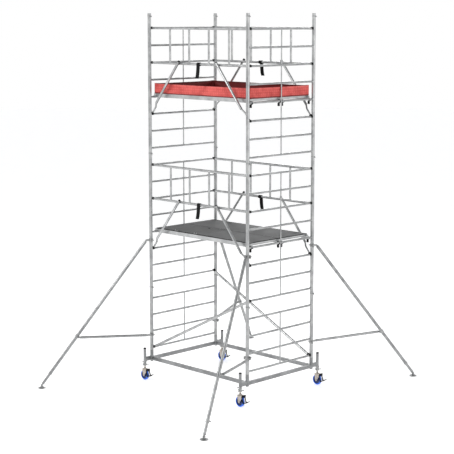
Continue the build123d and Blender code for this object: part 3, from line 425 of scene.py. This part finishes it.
def deck_finish(name, dark, light):
    """Dark phenolic film with an anti-slip mesh, and black sealed edges."""
    made, tree, shader, place = start_material(name, IOR=1.5, Specular_IOR_Level=0.25)
    dust = add(
        tree, "ShaderNodeTexNoise", {"Scale": 3.5, "Detail": 6.0, "Roughness": 0.65},
        {"Vector": place},
    ).outputs["Fac"]
    waves = [
        add(
            tree, "ShaderNodeTexWave", {"Scale": band_scale(mesh_spacing_mm), "Distortion": 0.0},
            {"Vector": place}, wave_type="BANDS", bands_direction=direction,
        ).outputs["Fac"]
        for direction in ("X", "Y")
    ]
    mesh = add(
        tree, "ShaderNodeMath", links={0: waves[0], 1: waves[1]}, operation="MAXIMUM",
    ).outputs["Value"]
    up = add(tree, "ShaderNodeSeparateXYZ", links={
        "Vector": add(tree, "ShaderNodeNewGeometry").outputs["Normal"],
    }).outputs["Z"]
    flatness = add(tree, "ShaderNodeMath", links={0: up}, operation="ABSOLUTE").outputs["Value"]
    film = two_tones(tree, dust, dark, light, 0.3, 0.7)
    ways = add(tree, "ShaderNodeSeparateXYZ", links={"Vector": place})
    along, across = [
        add(tree, "ShaderNodeMath", links={0: ways.outputs[way]}, operation="ABSOLUTE").outputs["Value"]
        for way in ("X", "Y")
    ]
    past_end = two_values(tree, along, 1.0, 0.0, half_length - rim, half_length - rim + rim_fade)
    past_side = two_values(tree, across, 1.0, 0.0, half_width - rim, half_width - rim + rim_fade)
    past_joint = two_values(tree, across, 0.0, 1.0, joint_rim, joint_rim + rim_fade)
    inside = add(
        tree, "ShaderNodeMath", links={0: past_end, 1: past_side}, operation="MULTIPLY",
    ).outputs["Value"]
    open_face = add(
        tree, "ShaderNodeMath", links={0: inside, 1: past_joint}, operation="MULTIPLY",
    ).outputs["Value"]
    showing = add(
        tree, "ShaderNodeMath", links={0: open_face, 1: flatness}, operation="MULTIPLY",
    ).outputs["Value"]
    edge = add(
        tree, "ShaderNodeMix", {"A": linear("0c0c0d")}, {"Factor": showing, "B": film},
        data_type="RGBA",
    )
    tree.links.new(edge.outputs["Result"], shader.inputs["Base Color"])
    tree.links.new(two_values(tree, dust, 0.5, 0.72), shader.inputs["Roughness"])
    bump(tree, shader, mesh, 0.0006, 0.6)
    return made


board_finish = deck_finish("film_faced_plywood", "404141", "5a5b5c")
door_finish = deck_finish("film_faced_hatch_door", "3b3c3c", "555656")

# %% [markdown]
# ## Dressing the pieces that are already modelled
#
# Each piece keeps its exact shape and only gets its finish. The list below goes
# from the tower's frames outwards, and whatever a piece is called decides what it
# is made of, so nothing is left with the plain colour it arrived in.

# %% Give every modelled piece its finish
def dress(name, finish):
    """Put a finish in all the slots of one piece."""
    for slot in nodes[name].material_slots:
        slot.material = finish


finishes = {
    "frames_": frame_finish,
    "guardrails_": rail_tube,
    "diagonal_": rail_tube,
    "base_": base_section,
    "platforms_": deck_section,
    "adjusting_": cast_zinc,
    "frame_lock": bright_zinc,
    "sleeve_caps": cap_moulding,
    "rail_": black_moulding,
    "platform_locks": black_moulding,
    "toe_board_clips": black_moulding,
    "toe_boards": black_moulding,
    "deck_boards": board_finish,
    "hatch_": door_finish,
}
endings = {
    "_spindle": spindle_finish,
    "_fork": straw_zinc,
    "_pedal": black_moulding,
    "_clamps": bright_zinc,
    "_foot": bright_zinc,
    "_tube": stay_tube,
    "_leg": stay_tube,
    "_strut": stay_tube,
}
for name in nodes:
    if name.endswith("_wheel"):
        low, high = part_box(name)
        centre = [(a + b) / 2 for a, b in zip(low, high)]
        dress(name, wheel_finish(f"{name}_blue", centre, tread_starts=0.057))
        continue
    rules = endings if name.startswith(("castor", "outrigger")) else finishes
    fits = name.endswith if rules is endings else name.startswith
    dress(name, rules[[rule for rule in rules if fits(rule)][0]])
print("dressed", len(nodes), "pieces")

# %% [markdown]
# ## Where things are
#
# The new pieces have to land on the tower exactly, so their places come from the
# boxes of the pieces they belong to. The frames' box gives the posts' axes: the
# outside of a post is its radius away from its middle. The lowest rung is found
# from the top of the lowest frames, and twenty rungs stand a fixed pitch apart
# from there up.

# %% Read the tower's main lines
post_radius = 0.025
rung_radius = 0.015
rung_pitch = 0.250
lowest_rungs, all_rungs = 4, 20
first_rung_rise = 0.035                # from the foot of a frame to its first rung
frames_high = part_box("frames_lower")[1]
post_x = frames_high.x - post_radius
post_y = frames_high.y - post_radius
first_rung = frames_high.z - lowest_rungs * rung_pitch + first_rung_rise
rungs = [first_rung + i * rung_pitch for i in range(all_rungs)]
platform_rungs = (rungs[7], rungs[15])
corners = [(-1, -1), (1, -1), (1, 1), (-1, 1)]
print("posts at", round(post_x, 3), round(post_y, 3))
print("rungs from", round(rungs[0], 3), "to", round(rungs[-1], 3))

# %% [markdown]
# ## Weld beads
#
# Every rung meets its posts in a welded ring. A weld is a row of overlapping
# puddles, so its bead is a ring that swells and sinks on its way round. Because
# the post is round, the ring is not flat: it dips towards the post's axis at its
# sides, like the rim of a saddle. One bead starts as a torus lying round the rung,
# is pulled onto that saddle, and is then copied to all the joints, turned round for
# the far side. A hundred faces each are enough.

# %% Model one bead and copy it to every joint
def smooth_shade(piece, angle=40):
    """Smooth shading that keeps edges sharper than an angle."""
    bpy.ops.object.select_all(action="DESELECT")
    piece.select_set(True)
    bpy.context.view_layer.objects.active = piece
    bpy.ops.object.shade_smooth_by_angle(angle=math.radians(angle))


def weld_bead(name, tube_radius, on_radius, bead):
    """Ring round a tube along Y whose end meets a round one along Z at the origin."""
    bpy.ops.object.select_all(action="DESELECT")
    bpy.ops.mesh.primitive_torus_add(
        major_segments=20, minor_segments=5, major_radius=tube_radius + bead * 0.35,
        minor_radius=bead, rotation=(math.pi / 2, 0, 0),
    )
    piece = bpy.context.object
    piece.name = name
    bpy.ops.object.transform_apply(location=True, rotation=True, scale=True)
    for vertex in piece.data.vertices:
        across, up = vertex.co.x, vertex.co.z
        dip = on_radius - math.sqrt(max(on_radius ** 2 - min(abs(across), on_radius * 0.9) ** 2, 0))
        swell = 1 + 0.12 * math.sin(11 * math.atan2(up, across))
        vertex.co.y = vertex.co.y * swell - on_radius + dip
    return piece


def copies(template, name, places, finish, body="tower"):
    """One piece made of copies of a template, each with its own mesh."""
    made = []
    for x, y, z, turn in places:
        piece = template.copy()
        piece.data = template.data.copy()
        bpy.context.collection.objects.link(piece)
        piece.data.transform(Matrix.Translation((x, y, z)) @ Matrix.Rotation(turn, 4, "Z"))
        made.append(piece)
    bpy.ops.object.select_all(action="DESELECT")
    for piece in made:
        piece.select_set(True)
    bpy.context.view_layer.objects.active = made[0]
    if len(made) > 1:
        bpy.ops.object.join()
    whole = bpy.context.object
    whole.name = name
    whole.data.materials.clear()
    whole.data.materials.append(finish)
    smooth_shade(whole)
    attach(whole, body)
    return whole


weld_finish = aluminium("aluminium_weld_bead", "8d8e8f", "c2c3c3", 0.34, 0.5, patch_mm=30.0, mark_mm=4.0)
bead = weld_bead("bead_template", rung_radius, post_radius, bead=0.0022)
rung_places = [
    (sx * post_x, sy * post_y, z, 0 if sy > 0 else math.pi)
    for z in rungs
    for sx, sy in corners
]
rung_welds = copies(bead, "rung_welds", rung_places, weld_finish)
bpy.data.objects.remove(bead)
print("weld beads:", len(rung_places), "with", len(rung_welds.data.polygons), "faces")

# %% [markdown]
# ### The guardrails' uprights
#
# Between the two rails of each guardrail stand four uprights, welded top and bottom.
# The bead is the same kind of ring, only its tube stands on a rail that lies along X,
# so it is made again for the uprights' radius and turned upright before it is
# copied. Turned over, it serves the upper rail.

# %% Weld the uprights to their rails
upright_radius, rail_radius = 0.015, 0.0175
rail_inset = 0.015                     # from the posts' inner sides to a rail's middle
rail_spacing = 2 * rung_pitch
upright_count = 4
rail_y = post_y - post_radius - rail_inset
quarter_turns = Matrix(((0, 0, -1, 0), (1, 0, 0, 0), (0, -1, 0, 0), (0, 0, 0, 1)))
for level in ("lower", "upper"):
    top_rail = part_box(f"guardrails_{level}")[1].z - rail_radius
    for end, rail_z, turned in (("foot", top_rail - rail_spacing, 0.0), ("head", top_rail, math.pi)):
        upright_bead = weld_bead("upright_template", upright_radius, rail_radius, bead=0.002)
        upright_bead.data.transform(Matrix.Rotation(turned, 4, "X") @ quarter_turns)
        upright_places = [
            (2 * post_x * ((i + 1) / (upright_count + 1) - 0.5), side * rail_y, rail_z, 0.0)
            for i in range(upright_count)
            for side in (-1, 1)
        ]
        upright_welds = copies(upright_bead, f"upright_{end}_welds_{level}", upright_places, weld_finish)
        bpy.data.objects.remove(upright_bead)
print("upright welds on rails", round(rail_y, 3), "m from the middle")

# %% [markdown]
# ## Rivets along the decks
#
# The boards are riveted to the side beams every fifteen centimetres, close to their
# long edges. A blind rivet's head is a low dome: the upper half of a small sphere,
# cut off flat and squashed. A few dozen faces are enough for something the size of
# a shirt button.

# %% Model one rivet head and set the rows
def rivet_head(radius, height):
    """A low dome standing on the origin, closed underneath."""
    bpy.ops.object.select_all(action="DESELECT")
    bpy.ops.mesh.primitive_uv_sphere_add(segments=10, ring_count=6, radius=radius)
    piece = bpy.context.object
    piece.name = "rivet_template"
    bpy.ops.object.mode_set(mode="EDIT")
    bpy.ops.mesh.select_all(action="SELECT")
    bpy.ops.mesh.bisect(plane_co=(0, 0, 0), plane_no=(0, 0, 1), use_fill=True, clear_inner=True)
    bpy.ops.mesh.select_all(action="SELECT")
    bpy.ops.transform.resize(value=(1, 1, height / radius))
    bpy.ops.mesh.normals_make_consistent(inside=False)
    bpy.ops.object.mode_set(mode="OBJECT")
    return piece


rivet = rivet_head(radius=0.005, height=0.0018)
rivet_pitch, rivets_in_row = 0.15, 12
rungs_between_decks = 8
rivet_rows = [side * y for side in (-1, 1) for y in (rim / 2, half_width - rim / 2)]
deck_tops = {"upper": deck_high.z, "lower": deck_high.z - rungs_between_decks * rung_pitch}
for level, top in deck_tops.items():
    rivet_places = [
        ((i - (rivets_in_row - 1) / 2) * rivet_pitch, y, top, 0.0)
        for i in range(rivets_in_row)
        for y in rivet_rows
    ]
    rivets = copies(rivet, f"deck_rivets_{level}", rivet_places, bright_zinc)
bpy.data.objects.remove(rivet)
print("rivets:", len(rivet_places), "on each deck, tops at", {k: round(v, 3) for k, v in deck_tops.items()})

# %% [markdown]
# ## Grips on the platform locks
#
# Beside each hook at one end of the platforms hangs a black lock that stops wind
# from lifting the deck. The hand finds it by its grip: a chunky moulded block on
# the lock's tail, with its edges broken and a finger recess pressed into both wide
# faces. It begins as a cube scaled to the block's size, has those faces inset and
# sunk, and is copied to the eight locks.

# %% Model a lock grip and hang one on every lock
def lock_grip(width, thickness, height):
    """Block with broken edges and a recess in its two faces along Y."""
    bpy.ops.object.select_all(action="DESELECT")
    bpy.ops.mesh.primitive_cube_add(size=1)
    piece = bpy.context.object
    piece.name = "lock_grip_template"
    piece.scale = (width, thickness, height)
    bpy.ops.object.transform_apply(location=False, rotation=False, scale=True)
    for side in (-1, 1):
        bpy.ops.object.mode_set(mode="EDIT")
        bpy.ops.mesh.select_all(action="DESELECT")
        bpy.ops.object.mode_set(mode="OBJECT")
        for face in piece.data.polygons:
            face.select = face.normal.y * side > 0.9
        bpy.ops.object.mode_set(mode="EDIT")
        bpy.ops.mesh.inset(thickness=width * 0.22)
        bpy.ops.transform.translate(value=(0, -side * thickness * 0.15, 0))
        bpy.ops.object.mode_set(mode="OBJECT")
    edges = piece.modifiers.new("broken_edges", "BEVEL")
    edges.width = width * 0.08
    edges.segments = 2
    bpy.ops.object.modifier_apply(modifier=edges.name)
    return piece


grip_width, grip_thickness, grip_height = 0.030, 0.020, 0.044
grip_inset, grip_drop = 0.019, 0.011   # in from the posts' axes, down from a rung's underside
lock_thickness, hook_width = 0.008, 0.020
rod_radius, hook_gap = 0.009, 0.001    # the middle rod, and its gap to the inner hooks
lock_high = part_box("platform_locks")[1]
outer_lock = lock_high.y - lock_thickness / 2
inner_lock = rod_radius + hook_gap + hook_width + lock_thickness / 2
grip = lock_grip(grip_width, grip_thickness, grip_height)
grip_places = [
    (post_x - grip_inset, side * y, rung - rung_radius - grip_drop - grip_height / 2, 0.0)
    for rung in platform_rungs
    for y in (inner_lock, outer_lock)
    for side in (-1, 1)
]
lock_grips = copies(grip, "platform_lock_grips", grip_places, black_moulding)
bpy.data.objects.remove(grip)
print("lock grips:", len(grip_places), "the outer ones", round(outer_lock, 3), "m from the middle")

# %% [markdown]
# ## Finger cups in the hatches
#
# A hatch is lifted by a finger in a round pull near its door's inner edge, and the
# pull is lined with a black cup: a rolled rim that stands just proud of the board,
# over a shallow dish. It starts as a short cylinder. Its top face is inset and
# pushed down for the dish, and a thin ring makes the rim. One cup sits in each door
# and swings with it.

# %% Model a finger cup for each hatch
def finger_cup(radius, depth):
    """Rolled rim round a shallow dish, its rim on the origin's level."""
    lip_reach, lip_radius = 0.0015, 0.0022
    bpy.ops.object.select_all(action="DESELECT")
    bpy.ops.mesh.primitive_cylinder_add(
        vertices=32, radius=radius, depth=depth, location=(0, 0, -depth / 2),
    )
    dish = bpy.context.object
    dish.name = "finger_cup_template"
    bpy.ops.object.transform_apply(location=True, rotation=False, scale=False)
    bpy.ops.object.mode_set(mode="EDIT")
    bpy.ops.mesh.select_all(action="DESELECT")
    bpy.ops.object.mode_set(mode="OBJECT")
    for face in dish.data.polygons:
        face.select = face.normal.z > 0.9
    bpy.ops.object.mode_set(mode="EDIT")
    bpy.ops.mesh.inset(thickness=radius * 0.12)
    bpy.ops.transform.translate(value=(0, 0, -depth * 0.7))
    bpy.ops.object.mode_set(mode="OBJECT")
    bpy.ops.mesh.primitive_torus_add(
        major_segments=32, minor_segments=8, major_radius=radius + lip_reach,
        minor_radius=lip_radius,
    )
    bpy.ops.object.transform_apply(location=True, rotation=True, scale=True)
    dish.select_set(True)
    bpy.context.view_layer.objects.active = dish
    bpy.ops.object.join()
    return bpy.context.object


cup = finger_cup(radius=0.0138, depth=0.008)
hatch_centre_x = -0.365
pull_inset = 0.032                     # from the door's inner edge to the pull hole
for level in ("lower", "upper"):
    door_top = deck_tops[level]
    cup_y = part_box(f"hatch_{level}")[1].y - pull_inset
    cups = copies(
        cup, f"finger_cup_{level}", [(hatch_centre_x, cup_y, door_top, 0.0)], cap_moulding,
        f"hatch_{level}",
    )
bpy.data.objects.remove(cup)
print("finger cups at", hatch_centre_x, round(cup_y, 3))

# %% [markdown]
# ## Hub caps
#
# A castor's axle is covered by a pressed thread guard, a shallow zinc dish that
# keeps string out of the bearing. It starts as a short cylinder, gets its rim
# inset and sunk, and its edge bevelled; one goes on each side of every wheel and
# rides with it.

# %% Model a thread guard and fit two to each wheel
def thread_guard(radius, height):
    """Shallow dish about the Y axis, its open side towards +Y."""
    bpy.ops.object.select_all(action="DESELECT")
    bpy.ops.mesh.primitive_cylinder_add(
        vertices=32, radius=radius, depth=height, rotation=(math.pi / 2, 0, 0),
    )
    piece = bpy.context.object
    piece.name = "thread_guard_template"
    bpy.ops.object.transform_apply(location=True, rotation=True, scale=True)
    bpy.ops.object.mode_set(mode="EDIT")
    bpy.ops.mesh.select_all(action="DESELECT")
    bpy.ops.object.mode_set(mode="OBJECT")
    for face in piece.data.polygons:
        face.select = face.normal.y > 0.9
    bpy.ops.object.mode_set(mode="EDIT")
    bpy.ops.mesh.inset(thickness=radius * 0.22)
    bpy.ops.transform.translate(value=(0, -height * 0.35, 0))
    bpy.ops.mesh.inset(thickness=radius * 0.30)
    bpy.ops.transform.translate(value=(0, height * 0.25, 0))
    bpy.ops.object.mode_set(mode="OBJECT")
    bevel = piece.modifiers.new("edge", "BEVEL")
    bevel.width = height * 0.12
    bevel.segments = 2
    bpy.ops.object.modifier_apply(modifier=bevel.name)
    return piece


guard = thread_guard(radius=0.0175, height=0.0036)
guard_sunk = 0.0012
for corner_name in ("front_left", "front_right", "back_right", "back_left"):
    wheel_low, wheel_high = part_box(f"castor_{corner_name}_wheel")
    centre = (wheel_low + wheel_high) / 2
    reach = (wheel_high.y - wheel_low.y) / 2 - guard_sunk
    sides = [
        (centre.x, centre.y + reach, centre.z, 0.0),
        (centre.x, centre.y - reach, centre.z, math.pi),
    ]
    guards = copies(guard, f"thread_guards_{corner_name}", sides, bright_zinc, f"castor_{corner_name}_wheel")
bpy.data.objects.remove(guard)
print("thread guards on every wheel")

# %% [markdown]
# ## The red toe board
#
# Round the upper deck runs one strip of coated tarpaulin, hooked down at its foot
# and held upright at the corners. It is a single sheet about six metres long and
# fifteen centimetres tall, so that is how it is made: one flat grid, laid along
# the deck's edge at that size, then let go. Cloth with its foot and its corners
# pinned stays where it was put and only slackens between its clips, which gives
# the shallow waves along the top that a drawn one never quite has. The solver's
# pull is capped at a few millimetres so that the strip stays inside its space.

# %% Finish of the tarpaulin
def woven(name, dark, light, painted_shade_inside, thread_mm, length, height):
    """Coated tarpaulin: a weave that follows the sheet, paler in patches, with painted shade on its inner
    side.
    """
    made, tree, shader, place = start_material(
        name, IOR=1.5, Sheen_Weight=0.08, Specular_IOR_Level=0.3,
    )
    sheet_uv = add(tree, "ShaderNodeUVMap", uv_map="cloth").outputs["UV"]
    metres = add(
        tree, "ShaderNodeMapping", {"Scale": (length, height, 1.0)}, {"Vector": sheet_uv},
    ).outputs["Vector"]
    fading = add(
        tree, "ShaderNodeTexNoise", {"Scale": 9.0, "Detail": 5.0, "Roughness": 0.6},
        {"Vector": place},
    ).outputs["Fac"]
    threads = [
        add(
            tree, "ShaderNodeTexWave", {"Scale": band_scale(thread_mm), "Distortion": 0.4},
            {"Vector": metres}, wave_type="BANDS", bands_direction=direction,
        ).outputs["Fac"]
        for direction in ("X", "Y")
    ]
    weave = add(
        tree, "ShaderNodeMath", links={0: threads[0], 1: threads[1]}, operation="MULTIPLY",
    ).outputs["Value"]
    blend = add(
        tree, "ShaderNodeMath", {1: 0.25}, {0: weave, 2: fading}, operation="MULTIPLY_ADD",
    ).outputs["Value"]
    coated = two_tones(tree, blend, dark, light, 0.35, 0.8)
    # The faces that point towards the deck get a darker red: a painted shade on the sheet's inner side.
    sideways = add(
        tree, "ShaderNodeVectorMath", {1: (1.0, 1.0, 0.0)}, {0: place}, operation="MULTIPLY",
    ).outputs["Vector"]
    painted_shade_side = add(
        tree, "ShaderNodeVectorMath",
        links={0: add(tree, "ShaderNodeNewGeometry").outputs["Normal"], 1: sideways},
        operation="DOT_PRODUCT",
    ).outputs["Value"]
    coated_with_painted_inner_shade = add(
        tree, "ShaderNodeMix", {"A": linear(painted_shade_inside)},
        {"Factor": two_values(tree, painted_shade_side, 0.0, 1.0, -0.02, 0.02), "B": coated},
        data_type="RGBA",
    )
    tree.links.new(coated_with_painted_inner_shade.outputs["Result"], shader.inputs["Base Color"])
    tree.links.new(two_values(tree, fading, 0.42, 0.62), shader.inputs["Roughness"])
    bump(tree, shader, weave, 0.0005, 0.45)
    return made


# %% Lay the sheet along the deck's edge
toe_low, toe_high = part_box("toe_boards")
inset = 0.002
half_x, half_y = toe_high.x - inset, toe_high.y - inset
bend = 0.014
straight_x, straight_y = 2 * (half_x - bend), 2 * (half_y - bend)
turn_length = bend * math.pi / 2
sheet_length = 2 * straight_x + 2 * straight_y + 4 * turn_length
sheet_foot = toe_low.z + 0.001
sheet_height = toe_high.z - sheet_foot


def along_edge(distance):
    """Point and outward direction at a distance round the deck, from the front right corner."""
    runs = [
        ((half_x, -half_y + bend), (0, 1), straight_y),
        ((half_x - bend, half_y), (-1, 0), straight_x),
        ((-half_x, half_y - bend), (0, -1), straight_y),
        ((-half_x + bend, -half_y), (1, 0), straight_x),
    ]
    left = min(max(distance, 0.0), sheet_length)
    for (x, y), (dx, dy), run in runs:
        out_x, out_y = dy, -dx
        if left <= run:
            return (x + dx * left, y + dy * left), (out_x, out_y)
        left -= run
        if left <= turn_length:
            turned = left / bend
            centre_x, centre_y = x + dx * run - out_x * bend, y + dy * run - out_y * bend
            way = (
                out_x * math.cos(turned) + dx * math.sin(turned),
                out_y * math.cos(turned) + dy * math.sin(turned),
            )
            return (centre_x + way[0] * bend, centre_y + way[1] * bend), way
        left -= turn_length
    return runs[0][0], (1, 0)


columns, rows = 320, 8
bpy.ops.object.select_all(action="DESELECT")
bpy.ops.mesh.primitive_grid_add(x_subdivisions=columns, y_subdivisions=rows, size=1.0, calc_uvs=True)
toe_sheet = bpy.context.object
toe_sheet.name = "toe_board_sheet"
toe_sheet.data.uv_layers[0].name = "cloth"
held = toe_sheet.vertex_groups.new(name="held")
clip_gap = 0.012
for vertex in toe_sheet.data.vertices:
    share, rise = vertex.co.x + 0.5, vertex.co.y + 0.5
    distance = share * sheet_length
    (x, y), (out_x, out_y) = along_edge(distance)
    slack = noise.noise(Vector((distance * 3.1, rise * 1.3, 0.7))) * 0.004 * rise
    vertex.co = (x + out_x * slack, y + out_y * slack, sheet_foot + rise * sheet_height)
    near_corner = min(abs(abs(x) - half_x) + abs(abs(y) - half_y), 1.0) < bend + clip_gap
    near_clip = min(abs(x), 1.0) < clip_gap or abs(abs(y) - half_y / 2) < clip_gap
    if rise < 0.01 or near_corner or (near_clip and rise < 0.4):
        held.add([vertex.index], 1.0, "REPLACE")
print("sheet", round(sheet_length, 3), "by", round(sheet_height, 3), "m")

# %% Let the cloth slacken, and cap how far it may move
scene = bpy.context.scene
cloth_frames = 20
rest_places = [vertex.co.copy() for vertex in toe_sheet.data.vertices]
bpy.ops.object.select_all(action="DESELECT")
toe_sheet.select_set(True)
bpy.context.view_layer.objects.active = toe_sheet
bpy.ops.object.modifier_add(type="CLOTH")
cloth = toe_sheet.modifiers["Cloth"]
cloth.settings.quality = 6
cloth.settings.mass = 0.6
cloth.settings.tension_stiffness = 40
cloth.settings.compression_stiffness = 40
cloth.settings.shear_stiffness = 20
cloth.settings.bending_stiffness = 8
cloth.settings.vertex_group_mass = "held"
cloth.collision_settings.use_collision = False
for step in range(1, cloth_frames + 1):
    scene.frame_set(step)
bpy.ops.object.modifier_apply(modifier="Cloth")
scene.frame_set(1)
furthest = 0.0
most = 0.007
for vertex, rest in zip(toe_sheet.data.vertices, rest_places):
    moved = vertex.co - rest
    furthest = max(furthest, moved.length)
    if moved.length > most:
        vertex.co = rest + moved.normalized() * most
print("the cloth moved by up to", round(1000 * furthest, 1), "mm, capped at", 1000 * most)

# %% [markdown]
# ### Its bands
#
# The strip's foot is bound with dark webbing that the deck's clips grip, and its
# top edge is folded over and stitched. Both are made from the sheet itself: the
# faces of its lowest and highest row are duplicated, separated and given a little
# more thickness than the sheet, so they follow every wave it has.

# %% Cut the foot band and the top hem from the sheet
def band(name, row, thickness, finish):
    """A strip made from one row of the sheet's faces, thicker than the sheet."""
    bpy.ops.object.select_all(action="DESELECT")
    toe_sheet.select_set(True)
    bpy.context.view_layer.objects.active = toe_sheet
    bpy.ops.object.mode_set(mode="EDIT")
    bpy.ops.mesh.select_all(action="DESELECT")
    bpy.ops.object.mode_set(mode="OBJECT")
    uvs = toe_sheet.data.uv_layers["cloth"].data
    for face in toe_sheet.data.polygons:
        level = sum(uvs[i].uv.y for i in face.loop_indices) / face.loop_total
        face.select = int(level * rows) == row
    bpy.ops.object.mode_set(mode="EDIT")
    bpy.ops.mesh.duplicate()
    bpy.ops.mesh.separate(type="SELECTED")
    bpy.ops.object.mode_set(mode="OBJECT")
    strip = [o for o in bpy.context.selected_objects if o is not toe_sheet][0]
    strip.name = name
    strip.vertex_groups.clear()
    thicken(strip, thickness)
    strip.data.materials.clear()
    strip.data.materials.append(finish)
    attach(strip, "tower")
    return strip


def thicken(piece, thickness):
    """Give a sheet its thickness, half to each side, and shade it smooth."""
    bpy.ops.object.select_all(action="DESELECT")
    piece.select_set(True)
    bpy.context.view_layer.objects.active = piece
    wall = piece.modifiers.new("wall", "SOLIDIFY")
    wall.thickness = thickness
    wall.offset = 0.0
    bpy.ops.object.modifier_apply(modifier=wall.name)
    smooth_shade(piece, 50)


# Real threads are about a millimetre apart; these are 19 to 38 mm apart, so that they show.
# The fourth colour of each cloth is the painted shade on its inner side.
tarpaulin = woven("red_coated_tarpaulin", "b03a36", "da605a", "6e1614", 37.7, sheet_length, sheet_height)
hem_cloth = woven("red_stitched_hem", "a8322e", "e06a64", "5e1210", 25.13, sheet_length, sheet_height)
webbing = woven("dark_red_polyester_webbing", "641614", "8e2a26", "3c0c0b", 18.85, sheet_length, sheet_height)
foot_band = band("toe_board_foot_band", 0, 0.0026, webbing)
top_hem = band("toe_board_top_hem", rows - 1, 0.0024, hem_cloth)
toe_sheet.vertex_groups.clear()
thicken(toe_sheet, 0.0012)
toe_sheet.data.materials.clear()
toe_sheet.data.materials.append(tarpaulin)
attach(toe_sheet, "tower")
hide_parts("toe_boards")
print("toe board:", [o.name for o in (toe_sheet, foot_band, top_hem)])
